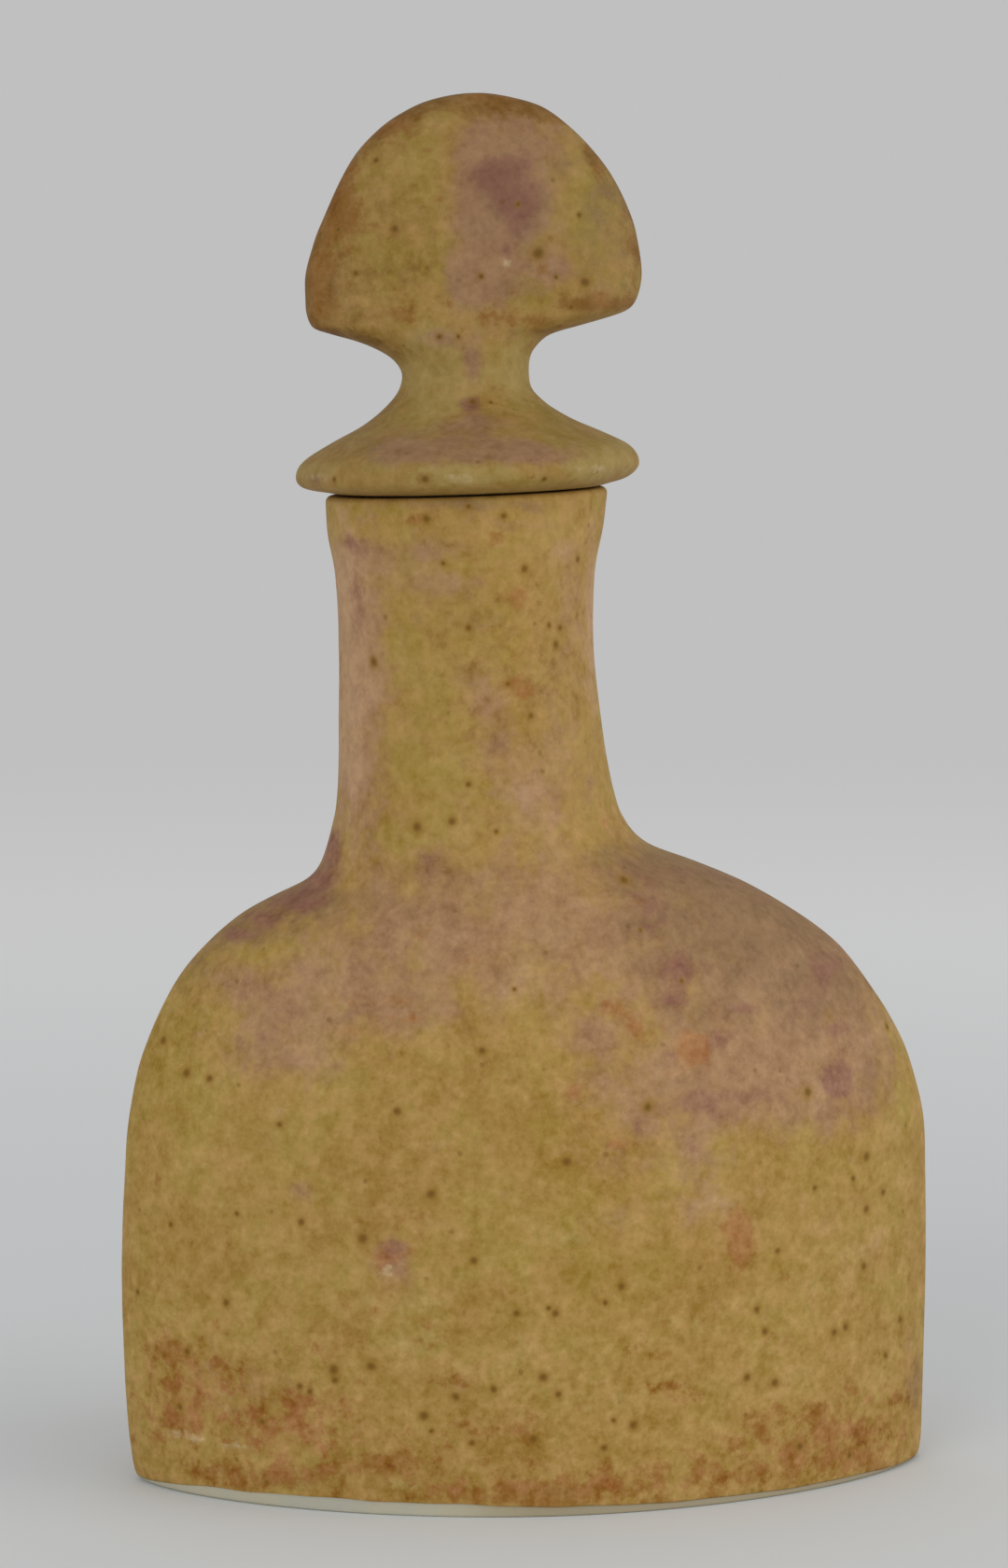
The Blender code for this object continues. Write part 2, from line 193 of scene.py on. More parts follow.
# Rows over which it comes in above the foot and the seat, and goes out again below the lip and the crown.
FOOT_FADE_ROWS = (4, 8)
LIP_FADE_ROWS = (6, 1)
SEAT_FADE_ROWS = (5, 16)
CROWN_FADE_ROWS = 2

# Bare clay: over how many rows it comes in inside the lip and goes out at the slab, how many rows past the
# lip's crest it starts, and between which rows of the seat it ends.
BARE_FADE_ROWS = 3
BARE_START_ROWS = 2
SEAT_BARE_ROWS = (2, 3)

# Stains on the bottle, with painted shade and painted light among them: across, down, half width, half height
# in the photograph, and strength.
BOTTLE_STAINS_LIGHT_AND_SHADE = {
    "pink": (
        (445, 985, 105, 80, 0.8), (377, 1045, 80, 46, 0.8), (316, 1122, 60, 42, 0.7),
        (432, 1083, 60, 26, 0.9), (259, 1055, 22, 24, 0.7), (570, 960, 70, 60, 0.7), (660, 1010, 80, 70, 0.7),
        (756, 950, 100, 50, 0.6), (545, 1030, 70, 50, 0.6), (265, 1130, 36, 30, 0.5),
        (690, 1195, 70, 40, 0.55), (830, 1185, 80, 28, 0.55), (905, 1180, 40, 30, 0.4),
        (300, 1078, 64, 40, 0.6), (540, 720, 90, 180, 0.22), (840, 1020, 100, 80, 1.0),
        (911, 1124, 50, 60, 0.9), (840, 1147, 60, 45, 0.9), (770, 1140, 110, 70, 0.9),
        (800, 1060, 80, 50, 0.8), (638, 1113, 40, 30, 0.6), (742, 1240, 34, 34, 0.6), (481, 626, 60, 14, 0.6),
        (526, 765, 22, 54, 0.7), (563, 846, 32, 44, 0.7), (390, 730, 34, 150, 0.9), (372, 640, 14, 60, 0.7),
        (400, 600, 40, 16, 0.6), (616, 640, 14, 90, 0.5), (563, 562, 40, 8, 0.5), (600, 820, 30, 90, 0.4),
        (376, 850, 18, 60, 0.6), (322, 1278, 18, 14, 0.6), (418, 1350, 26, 26, 0.8), (700, 1300, 70, 40, 0.4),
        (260, 1490, 60, 40, 0.4), (470, 590, 60, 14, 0.5),
    ),
    # Blush: pale pink stains, and painted light down the neck's left and right edges.
    "blush_and_painted_light": (
        (368, 700, 12, 170, 1.0), (378, 790, 12, 80, 0.8), (366, 640, 8, 50, 0.8), (563, 850, 24, 34, 0.5),
        (380, 720, 20, 130, 0.6), (634, 660, 12, 110, 0.4), (402, 690, 20, 140, 0.4), (634, 660, 7, 100, 0.7),
        (600, 590, 16, 16, 0.5), (760, 1290, 60, 50, 0.4), (700, 1180, 50, 30, 0.4), (900, 1330, 60, 60, 0.3),
        (640, 1250, 30, 20, 0.4),
    ),
    # Umber: brown stains, and painted shade on the shoulders, under the stopper's flange, down the neck's
    # middle and right edge and on the right ridge.
    "umber_and_painted_shade": (
        (700, 918, 40, 16, 0.8), (760, 945, 70, 26, 0.9), (830, 985, 60, 30, 0.8), (890, 1040, 40, 40, 0.7),
        (700, 985, 40, 60, 0.6), (790, 1000, 110, 60, 0.95), (978, 1480, 12, 60, 0.7),
        (930, 1130, 24, 50, 0.5), (345, 935, 16, 30, 0.8), (965, 1180, 30, 80, 0.3), (885, 1040, 36, 40, 0.7),
        (325, 962, 26, 12, 0.9), (265, 1000, 40, 14, 0.8), (212, 1040, 30, 26, 0.5), (500, 540, 100, 8, 0.8),
        (632, 850, 22, 70, 0.35), (510, 720, 110, 170, 0.3), (560, 545, 70, 6, 0.4), (740, 1085, 50, 30, 0.5),
        (860, 1090, 50, 40, 0.4), (760, 1180, 46, 26, 0.5), (800, 1060, 90, 50, 0.3),
    ),
    "mauve": (
        (378, 584, 20, 10, 0.7), (407, 590, 20, 7, 0.8), (382, 625, 9, 34, 0.55), (390, 668, 8, 26, 0.4),
        (386, 700, 12, 110, 0.35), (372, 860, 12, 60, 0.2), (357, 915, 11, 26, 1.3), (340, 946, 16, 16, 1.4),
        (318, 966, 26, 12, 1.4), (286, 984, 26, 11, 1.1), (256, 1003, 22, 10, 1.0), (467, 928, 26, 18, 0.7),
        (278, 1112, 9, 15, 0.7), (363, 1090, 18, 10, 0.5), (322, 1275, 12, 10, 0.6), (695, 978, 26, 34, 0.7),
        (726, 1044, 20, 22, 1.3), (720, 1072, 18, 11, 0.8), (796, 1081, 22, 8, 0.8), (885, 1036, 28, 26, 0.9),
        (862, 1072, 18, 24, 0.7), (894, 1104, 15, 12, 0.9), (897, 1156, 14, 17, 2.4),
        (773, 1114, 16, 16, 0.8), (754, 1181, 30, 16, 1.1), (683, 1209, 11, 11, 0.9), (717, 1132, 9, 9, 0.8),
        (936, 1152, 6, 14, 0.7), (815, 1176, 26, 18, 0.5), (742, 1222, 22, 18, 0.4), (700, 935, 90, 12, 0.6),
        (800, 960, 60, 20, 0.3), (422, 1334, 16, 11, 0.7), (416, 1350, 24, 22, 0.3),
    ),
    # Olive: olive stains, and painted shadow in the band on the neck just under the stopper's flange.
    "olive": (
        (399, 546, 80, 10, 0.9), (516, 668, 72, 62, 0.8), (428, 690, 22, 44, 0.7), (472, 764, 50, 48, 0.6),
        (443, 833, 62, 56, 0.9), (531, 855, 44, 30, 0.8), (419, 896, 36, 22, 0.8), (322, 1010, 48, 26, 0.8),
        (199, 1075, 32, 46, 0.8), (207, 1195, 52, 76, 0.8), (459, 1166, 44, 34, 0.7),
        (644, 1149, 30, 13, 0.6), (588, 1203, 56, 34, 0.6), (330, 1230, 80, 60, 0.5),
        (520, 1300, 90, 50, 0.5), (300, 1370, 80, 50, 0.4), (560, 1370, 80, 50, 0.5),
        (700, 1370, 60, 40, 0.5), (850, 1390, 70, 60, 0.5), (950, 1380, 30, 60, 0.5),
        (900, 1250, 60, 40, 0.6), (640, 1300, 60, 40, 0.5), (440, 1440, 60, 30, 0.5),
        (620, 1070, 40, 20, 0.4), (965, 1180, 16, 60, 0.9), (160, 1330, 18, 60, 0.4),
        (930, 1055, 14, 44, 0.8), (955, 1110, 15, 50, 0.8), (170, 1120, 26, 60, 0.8),
        (150, 1190, 14, 60, 0.6),
    ),
    "amber_and_painted_shade": (
        (588, 1600, 54, 12, 0.8), (897, 1534, 44, 16, 0.4), (540, 720, 120, 170, 0.38),
        (215, 1075, 40, 50, 0.3),
    ),
    "rust": (
        (560, 1600, 430, 70, 0.35), (230, 1520, 110, 90, 0.28), (900, 1560, 110, 60, 0.38),
        (182, 1446, 24, 15, 1.1), (176, 1488, 24, 30, 0.6), (232, 1426, 24, 12, 0.5),
        (241, 1463, 32, 13, 0.6), (328, 1500, 28, 20, 0.8), (381, 1435, 24, 13, 0.6),
        (350, 1453, 18, 10, 0.6), (443, 1306, 28, 16, 0.5), (395, 1407, 14, 11, 0.6),
        (288, 1519, 64, 13, 0.5), (201, 1528, 34, 22, 0.6), (358, 1536, 24, 12, 0.6),
        (300, 1582, 56, 12, 1.2), (372, 1570, 46, 10, 0.9), (425, 1566, 44, 11, 0.9),
        (475, 1580, 64, 13, 0.1), (218, 1582, 20, 9, 0.8), (485, 1472, 30, 15, 0.6), (540, 1600, 60, 8, 0.9),
        (500, 1530, 50, 12, 0.5), (588, 1600, 54, 12, 1.8), (653, 1590, 44, 14, 0.9),
        (770, 1583, 66, 14, 0.9), (863, 1553, 60, 13, 0.8), (800, 1545, 40, 10, 0.6),
        (897, 1534, 50, 20, 1.0), (737, 1497, 30, 11, 0.6), (717, 1486, 34, 9, 0.5), (824, 1528, 24, 14, 0.7),
        (683, 1446, 36, 12, 0.5), (818, 1441, 16, 9, 0.6), (967, 1498, 18, 16, 0.7), (566, 1522, 9, 22, 0.9),
        (880, 1514, 12, 18, 0.7), (930, 1570, 36, 8, 0.7), (168, 1264, 6, 18, 0.8), (528, 576, 9, 12, 0.6),
        (560, 735, 24, 12, 1.0), (620, 560, 16, 30, 0.3), (455, 556, 14, 7, 0.6), (240, 1040, 44, 34, 0.15),
    ),
    "coral": (
        (400, 1072, 56, 11, 0.6), (434, 1090, 30, 8, 0.7), (380, 1104, 34, 8, 0.5), (506, 1030, 22, 9, 0.5),
        (462, 1006, 22, 8, 0.4), (700, 1100, 34, 20, 0.4), (741, 1123, 17, 23, 1.5), (722, 1148, 14, 7, 0.5),
        (664, 1082, 24, 11, 0.8), (664, 1225, 22, 10, 0.8), (619, 1172, 14, 12, 0.7),
        (680, 1105, 16, 14, 0.6), (557, 640, 18, 22, 0.7), (560, 735, 26, 12, 0.5), (651, 878, 14, 26, 0.6),
        (551, 704, 26, 14, 0.4), (366, 740, 6, 60, 0.5), (416, 1344, 24, 20, 0.9), (793, 1326, 24, 38, 1.0),
        (653, 1590, 44, 12, 0.5), (300, 1578, 50, 10, 0.5), (215, 1470, 40, 24, 0.4),
        (190, 1500, 40, 26, 0.4), (330, 1500, 40, 16, 0.5), (770, 1583, 60, 10, 0.4), (475, 1588, 60, 9, 0.3),
        (897, 1534, 40, 16, 0.4), (610, 1190, 18, 20, 0.4), (205, 1510, 60, 50, 0.3),
        (330, 1550, 110, 36, 0.4), (560, 1594, 160, 14, 0.4), (860, 1560, 110, 20, 0.4),
        (430, 1430, 60, 40, 0.25), (930, 1500, 50, 60, 0.35), (700, 1540, 90, 30, 0.3),
        (310, 1520, 90, 44, 0.45),
    ),
    "lemon_and_painted_light": (
        (430, 1440, 50, 20, 0.6), (207, 1200, 40, 50, 0.4), (180, 1070, 24, 50, 0.4), (330, 1590, 30, 7, 0.7),
        (430, 1590, 26, 8, 0.6), (700, 1575, 26, 10, 0.6), (850, 1480, 60, 24, 0.5), (880, 1390, 50, 24, 0.5),
        (560, 1450, 60, 24, 0.5), (660, 1500, 50, 20, 0.5), (450, 1400, 70, 26, 0.5),
        (620, 1330, 60, 24, 0.5), (740, 1420, 50, 20, 0.5),
    ),
    "pale": (
        (190, 1535, 26, 8, 0.75), (212, 1543, 24, 5, 0.5), (252, 1549, 34, 6, 0.75), (426, 1491, 9, 5, 0.7),
        (417, 1361, 12, 8, 0.9), (712, 1120, 6, 6, 0.7), (725, 1046, 5, 5, 0.5), (380, 677, 4, 8, 0.5),
        (606, 590, 6, 12, 0.5), (893, 1017, 4, 3, 0.8),
    ),
}

# Stains on the stopper's grip, with painted shade and painted light among them, listed in the same way.
GRIP_STAINS_LIGHT_AND_SHADE = {
    "pink": (
        (534, 218, 46, 88, 1.8), (580, 165, 36, 40, 0.5), (545, 140, 50, 24, 0.6), (592, 288, 26, 22, 0.8),
        (508, 292, 28, 40, 1.3), (470, 362, 24, 14, 0.7), (506, 388, 11, 34, 0.8), (512, 455, 32, 14, 0.9),
        (440, 482, 52, 18, 0.9), (575, 485, 60, 14, 0.9), (505, 478, 80, 16, 0.7), (345, 512, 20, 8, 0.5),
    ),
    "mauve": (
        (532, 190, 24, 22, 1.4), (556, 216, 20, 30, 1.3), (546, 212, 38, 52, 0.8), (540, 268, 12, 9, 0.8),
        (506, 432, 13, 9, 1.0), (506, 448, 20, 9, 0.5), (565, 489, 44, 9, 0.5), (496, 362, 14, 8, 0.5),
        (440, 486, 34, 9, 0.2),
    ),
    # Umber: a brown stain on the knob, and painted shade down the knob's right side and on the flange's
    # edges.
    "umber_and_painted_shade": (
        (546, 206, 40, 52, 1.0), (430, 520, 60, 5, 0.3), (656, 230, 50, 110, 0.65), (655, 506, 30, 10, 0.4),
    ),
    # Amber: amber marks, and painted shade along the knob's rim, most at its top and left.
    "amber_and_painted_shade": (
        (420, 230, 80, 110, 0.3), (410, 312, 60, 36, 0.25), (343, 300, 26, 54, 1.0), (515, 106, 90, 12, 1.0),
        (420, 130, 40, 14, 0.9), (595, 120, 44, 12, 0.9), (642, 165, 16, 34, 0.8), (400, 340, 50, 10, 0.4),
        (640, 326, 50, 8, 1.0), (360, 215, 14, 50, 0.6), (540, 113, 110, 15, 0.7), (640, 318, 44, 14, 0.5),
        (680, 260, 9, 60, 0.7),
    ),
    "olive": (
        (446, 180, 44, 66, 0.7), (419, 276, 56, 56, 0.9), (642, 225, 34, 70, 1.0), (560, 312, 30, 18, 1.6),
        (440, 372, 30, 22, 0.6), (560, 385, 34, 40, 0.7), (590, 440, 40, 26, 0.8), (430, 448, 40, 18, 0.6),
        (488, 513, 44, 9, 1.0), (636, 505, 26, 9, 1.0), (636, 482, 44, 18, 1.2), (566, 515, 36, 7, 0.8),
        (375, 500, 36, 12, 0.5), (480, 270, 18, 50, 0.4), (478, 395, 16, 14, 0.6),
    ),
    "rust": (
        (410, 136, 36, 16, 0.8), (365, 205, 20, 44, 0.8), (344, 300, 18, 44, 0.9), (425, 338, 54, 12, 0.25),
        (385, 240, 34, 28, 0.5), (638, 324, 48, 12, 0.4), (540, 340, 44, 14, 0.7), (520, 104, 60, 7, 0.8),
        (600, 126, 40, 10, 0.6), (648, 165, 16, 40, 0.5), (676, 270, 8, 50, 0.5), (452, 511, 16, 7, 0.7),
        (404, 356, 50, 8, 0.4), (573, 362, 12, 14, 0.4), (590, 345, 40, 8, 0.6), (370, 160, 24, 40, 0.6),
        (350, 250, 26, 60, 0.5), (450, 330, 40, 16, 0.3),
    ),
    "coral": (
        (505, 440, 14, 12, 0.5), (372, 518, 24, 6, 0.4),
    ),
    # Lemon: light yellow patches on the flange, and painted light on the stem under the knob and on the
    # flange's left rim.
    "lemon_and_painted_light": (
        (488, 510, 50, 13, 1.4), (545, 508, 20, 10, 0.9), (636, 501, 34, 13, 1.4), (405, 498, 30, 10, 0.7),
        (338, 508, 22, 12, 1.4), (520, 498, 60, 8, 0.5), (672, 494, 14, 14, 0.7), (650, 480, 24, 10, 0.8),
        (600, 470, 40, 10, 0.5), (440, 478, 30, 8, 0.4), (430, 455, 30, 12, 0.4), (556, 400, 24, 44, 1.0),
        (460, 398, 28, 48, 2.0), (500, 400, 60, 40, 0.6), (400, 474, 50, 16, 0.7),
    ),
    # Pale: light marks, and painted light on the flange's left rim.
    "pale": (
        (541, 280, 5, 6, 1.3), (550, 201, 6, 4, 0.6), (430, 205, 16, 14, 0.4), (628, 275, 8, 14, 0.4),
        (488, 512, 40, 8, 0.8), (640, 503, 26, 8, 0.8), (335, 511, 16, 6, 0.7),
    ),
}

# Iron specks: across and down in the photograph, and width in its pixels.
BOTTLE_SPECKS = (
    (457, 556, 9), (540, 553, 8), (502, 542, 6), (619, 599, 8), (562, 610, 9), (475, 604, 6), (502, 673, 7),
    (588, 670, 7), (600, 672, 8), (596, 691, 9), (401, 709, 11), (545, 733, 6), (569, 767, 7), (502, 840, 7),
    (447, 886, 11), (484, 880, 8), (532, 891, 6), (668, 943, 11), (686, 997, 5), (551, 1060, 5),
    (730, 1051, 5), (175, 1115, 10), (200, 1150, 11), (224, 1155, 9), (425, 1191, 10), (300, 1205, 7),
    (516, 1126, 8), (950, 1100, 8), (865, 1171, 11), (694, 1187, 10), (607, 1245, 11), (928, 1240, 11),
    (946, 1277, 8), (928, 1295, 9), (462, 1279, 11), (323, 1309, 8), (389, 1327, 12), (508, 1351, 9),
    (665, 1378, 9), (648, 1396, 6), (242, 1396, 8), (147, 1384, 7), (553, 1407, 9), (595, 1407, 9),
    (965, 1414, 8), (820, 1426, 9), (894, 1427, 9), (906, 1422, 9), (201, 1448, 8), (949, 1452, 8),
    (398, 1464, 10), (357, 1467, 11), (359, 1479, 8), (582, 1476, 11), (800, 1476, 9), (830, 1481, 9),
    (321, 1485, 8), (332, 1491, 7), (488, 1496, 9), (529, 1488, 8), (598, 1494, 8), (454, 1517, 11),
    (462, 1534, 6), (679, 1527, 10), (571, 1542, 10), (505, 1546, 8), (648, 1551, 8), (857, 1550, 9),
    (910, 1559, 7), (193, 1508, 7), (281, 1524, 7), (658, 1522, 6), (183, 1312, 7), (254, 1300, 6),
    (588, 1402, 6), (914, 1262, 7), (873, 1273, 6), (810, 1402, 7), (925, 1357, 8), (833, 1340, 7),
)
GRIP_SPECKS = (
    (577, 271, 13), (627, 302, 11), (621, 231, 6), (423, 245, 9), (403, 172, 7), (515, 296, 6), (596, 296, 5),
    (362, 246, 5), (555, 219, 5), (471, 361, 6), (491, 361, 5), (455, 514, 9), (584, 513, 7), (506, 431, 7),
    (381, 293, 6), (612, 329, 5), (526, 431, 5), (358, 514, 6),
)

# Stains on the back are drawn at random from this seed: how many of each kind, their sizes in pixels, how
# far they are stretched, and their strengths.
BACK_SEED = 11
BACK_STAINS = {
    "pink": 26, "umber_and_painted_shade": 10, "mauve": 22, "olive": 30, "rust": 34, "coral": 14, "lemon_and_painted_light": 16, "pale": 4,
    "blush_and_painted_light": 6, "amber_and_painted_shade": 4,
}
STAIN_SIZES = {
    "pink": (24, 90), "umber_and_painted_shade": (20, 70), "mauve": (8, 26), "olive": (30, 90), "rust": (12, 50),
    "coral": (10, 30), "lemon_and_painted_light": (16, 50), "pale": (5, 12), "blush_and_painted_light": (20, 60), "amber_and_painted_shade": (10, 30),
}
STRETCH_RANGE = (0.6, 1.6)
STRENGTH_RANGE = (0.5, 1.0)

# The most that a single oval covers, stains and painted shade alike.
FULLEST_OVAL = 0.97

# Where in the photograph's frame the back's stains lie, and how far behind the ridges they have taken over.
BOTTLE_REGION = ((140, 560), (980, 1600))
GRIP_REGION = ((340, 100), (700, 520))
BOTTLE_WRAP = 0.014
GRIP_WRAP = 0.005

# Painted shade, with the glaze lying thinner, where the shoulders turn up: from where to where in a normal's
# upward part, and how much.
SHOULDER_SLOPES = (0.35, 0.85)
SHOULDER_SHADE_AND_THINNESS = 0.70

# Painted shade, with the glaze lying thinner, also lies round the knob's rim: from where to where in a
# normal's part front to back, across the knob and up from the lip, how much, and what share of that is left
# on the right.
RIM_SLOPES = (0.80, 0.30)
RIM_ACROSS = (-0.003, 0.018)
RIM_HEIGHTS = (0.019, 0.024)
RIM_SHADE_AND_THINNESS = 0.85
RIM_RIGHT_SHARE = 0.30

# Studio: brightness of the surroundings, and what a white surface sends back and its sheen adds.
SURROUND = 0.527
LIGHT_SHARE = 0.80
SHEEN_SHARE = 0.010

# Lamps: name, place, size and watts.
LAMPS = (
    ("lamp_right", (1.3, -0.5, 0.4), 0.9, 7.0),
    ("lamp_left", (-0.8, -1.2, 0.4), 0.9, 6.0),
    ("lamp_top", (0.0, -0.3, 1.4), 0.9, 0.3),
)

# Floor: where it fades out, where it brightens, how far it goes on past that, and how far below the foot.
FLOOR_FADE = (0.45, 1.20)
FLOOR_BRIGHTENS = (0.10, 0.70)
FLOOR_MARGIN = 0.10
FLOOR_DROP = 0.00002


def blend(low, high, share):
    """A value part of the way from one to the other."""
    return low + (high - low) * share


def along(table, share, column=1):
    """Value at a place on a drawn line: a smooth curve through its points that never overshoots them."""
    places = [row[0] for row in table]
    values = [row[column] for row in table]
    slopes = [(values[i + 1] - values[i]) / (places[i + 1] - places[i]) for i in range(len(table) - 1)]
    tangents = [slopes[0]]
    for before, after in zip(slopes, slopes[1:]):
        tangents.append(2 * before * after / (before + after) if before * after > 0 else 0.0)
    tangents.append(slopes[-1])
    index = 0
    while index < len(slopes) - 1 and share > places[index + 1]:
        index += 1
    span = places[index + 1] - places[index]
    t = min(max((share - places[index]) / span, 0.0), 1.0)
    return (
        (2 * t**3 - 3 * t**2 + 1) * values[index]
        + (t**3 - 2 * t**2 + t) * span * tangents[index]
        + (3 * t**2 - 2 * t**3) * values[index + 1]
        + (t**3 - t**2) * span * tangents[index + 1]
    )


def level(points, height):
    """A level ring: a section's points at one height."""
    return [(x, y, height) for x, y in points]


def drawn_in(ring, share):
    """A level ring drawn in to a share of its size."""
    return [(x * share, y * share, height) for x, y, height in ring]


def form(start_powers, end_powers, share):
    """Powers of a section that is part of the way from one form to another."""
    return tuple(blend(start, end, share) for start, end in zip(start_powers, end_powers))


def section(left, right, depth, powers, count):
    """Points once round a level section between its left and right ends, half its depth each way."""
    points = []
    for i in range(count):
        across = math.cos(math.tau * i / count)
        back = math.sin(math.tau * i / count)
        x = (left + right) / 2 + (right - left) / 2 * math.copysign(abs(across) ** (2 / powers[0]), across)
        y = depth * math.copysign(abs(back) ** (2 / powers[1]), back)
        points.append((x, y))
    return points


def even_heights(left, right, start, end, count):
    """Heights that lie equally far apart along the outline between two side lines."""
    heights = [blend(start, end, step / OUTLINE_STEPS) for step in range(OUTLINE_STEPS + 1)]
    lengths = [0.0]
    for low, high in zip(heights, heights[1:]):
        left_run = left(high) - left(low)
        right_run = right(high) - right(low)
        lengths.append(lengths[-1] + math.hypot(high - low, left_run) + math.hypot(high - low, right_run))
    wanted = [lengths[-1] * i / count for i in range(count + 1)]
    return [float(height) for height in np.interp(wanted, lengths, heights)]


def rounding(centre, radius, start, end):
    """Points of an arc in radius and height, both its ends among them."""
    angles = [blend(start, end, step / ROUNDING_STEPS) for step in range(ROUNDING_STEPS + 1)]
    return [(centre[0] + radius * math.cos(a), centre[1] + radius * math.sin(a)) for a in angles]


def body_left(height):
    return blend(NECK_FOOT.x - FOOT_RADIUS, -BODY_WIDTH / 2, along(LEFT_SHARES, height / BODY_HEIGHT))


def body_right(height):
    return blend(NECK_FOOT.x + FOOT_RADIUS, BODY_WIDTH / 2, along(RIGHT_SHARES, height / BODY_HEIGHT))


def body_depth(height):
    return blend(FOOT_RADIUS, BODY_DEPTH / 2, along(DEPTH_SHARES, height / BODY_HEIGHT))


def lie(width, height):
    """How much thicker a wall measures level than square to its face, where the face leans back."""
    low = max(height - SLOPE_STEP, 0.0)
    high = min(height + SLOPE_STEP, BODY_HEIGHT)
    return math.hypot(1.0, (width(high) - width(low)) / (high - low))


def body_section(height, inset=0.0):
    """The body's outer section, drawn in by an inset all round."""
    powers = form(LENS_POWERS, ROUND_POWERS, along(ROUNDNESS_SHARES, height / BODY_HEIGHT))
    return section(
        body_left(height) + inset, body_right(height) - inset, body_depth(height) - inset, powers, BODY_POINTS
    )


def hollow_section(height):
    """The section of the body's hollow: the wall keeps its thickness where the shoulders lie back."""
    roundness = along(ROUNDNESS_SHARES, height / BODY_HEIGHT)
    side_wall = blend(RIDGE_WALL, NECK_WALL, roundness)
    face_wall = blend(BODY_WALL, NECK_WALL, roundness)
    left = body_left(height) + side_wall * lie(body_left, height)
    right = body_right(height) - side_wall * lie(body_right, height)
    depth = body_depth(height) - face_wall * lie(body_depth, height)
    return section(left, right, depth, form(LENS_POWERS, ROUND_POWERS, roundness), BODY_POINTS)


def glaze_line(x):
    """Height over the foot at which the glaze stops: highest left of the middle, and down at both ridges."""
    across = (x - body_left(0.0)) / (body_right(0.0) - body_left(0.0))
    ripple = sum(swing * math.sin(rate * across + start) for swing, rate, start in GLAZE_LINE_RIPPLES)
    return GLAZE_LINE * along(GLAZE_LINE_SHARES, across) * (1.0 + ripple)


def glaze_edge(inset=0.0):
    """The ring where the glaze stops: as wide at each of its points as the body is at that height."""
    ring = []
    for index, (x, _) in enumerate(body_section(GLAZE_LINE)):
        height = glaze_line(x)
        ring.append((*body_section(height, inset)[index], height))
    return ring


def neck_radius(share):
    """Outer radius of the neck."""
    if share < WAIST_SHARE:
        return blend(WAIST_RADIUS, FOOT_RADIUS, along(FOOT_FLARE_SHARES, share))
    return blend(WAIST_RADIUS, LIP_RADIUS, along(LIP_FLARE_SHARES, share))


def bore_radius(depth):
    """Radius of the bore below the lip: it narrows as far as the shank goes down, and opens again below."""
    mouth = LIP_RADIUS - NECK_WALL
    throat = WAIST_RADIUS - NECK_WALL
    if depth < SHANK_LENGTH:
        return blend(mouth, throat, depth / SHANK_LENGTH)
    below = (depth - SHANK_LENGTH) / (NECK_HEIGHT - SHANK_LENGTH)
    return blend(throat, FOOT_RADIUS - NECK_WALL, along(BORE_SHARES, below))


def neck_ring(height, radius, bow=0.0):
    """A round section of the neck: level at the foot, square to the neck's axis at the lip."""
    share = height / NECK_HEIGHT
    tilt = Matrix.Rotation(-NECK_LEAN * share, 4, "Y")
    centre = NECK_FOOT.lerp(LIP_CENTRE, share) - Vector((bow * math.sin(math.pi * share), 0.0, 0.0))
    circle = section(-radius, radius, radius, ROUND_POWERS, BODY_POINTS)
    return [centre + tilt @ Vector((x, y, 0.0)) for x, y in circle]


def lay(piece, points, row):
    """Lays the selected ring on its points and notes which row it is."""
    shape = bmesh.from_edit_mesh(piece.data)
    place_of = shape.verts.layers.int["place"]
    row_of = shape.verts.layers.int["row"]
    for vertex in shape.verts:
        if vertex.select:
            vertex.co = points[vertex[place_of]]
            vertex[row_of] = row


def close_end(piece, row):
    """Closes the skin at one of its end rows with a grid of small faces."""
    bpy.ops.mesh.select_all(action="DESELECT")
    shape = bmesh.from_edit_mesh(piece.data)
    row_of = shape.verts.layers.int["row"]
    ring = [vertex for vertex in shape.verts if vertex[row_of] == row]
    for vertex in ring:
        vertex.select = True
    shape.select_flush(True)
    bpy.ops.mesh.fill_grid(span=len(ring) // 4)
    shape = bmesh.from_edit_mesh(piece.data)
    row_of = shape.verts.layers.int["row"]
    for vertex in shape.verts:
        if vertex.select:
            vertex[row_of] = row


def skin(name, rings, closed=False):
    """A piece grown from one ring of points, extruded row by row; a closed one ends where it began."""
    bpy.ops.object.select_all(action="DESELECT")
    bpy.ops.mesh.primitive_circle_add(vertices=len(rings[0]), radius=BODY_DEPTH / 2)
    piece = bpy.context.object
    piece.name = name
    piece.data.name = name
    bpy.ops.object.mode_set(mode="EDIT")
    bpy.ops.mesh.select_all(action="SELECT")
    shape = bmesh.from_edit_mesh(piece.data)
    place_of = shape.verts.layers.int.new("place")
    shape.verts.layers.int.new("row")
    for index, vertex in enumerate(shape.verts):
        vertex[place_of] = index
    lay(piece, rings[0], 0)
    for row, ring in enumerate(rings[1:], 1):
        bpy.ops.mesh.extrude_region_move()
        lay(piece, ring, row)
    if closed:
        bpy.ops.mesh.extrude_region_move()
        lay(piece, rings[0], 0)
        bpy.ops.mesh.select_all(action="SELECT")
        bpy.ops.mesh.remove_doubles(threshold=MERGE_REACH)
    else:
        close_end(piece, len(rings) - 1)
        close_end(piece, 0)
    bpy.ops.mesh.select_all(action="SELECT")
    bpy.ops.mesh.normals_make_consistent(inside=False)
    bpy.ops.object.mode_set(mode="OBJECT")
    return piece


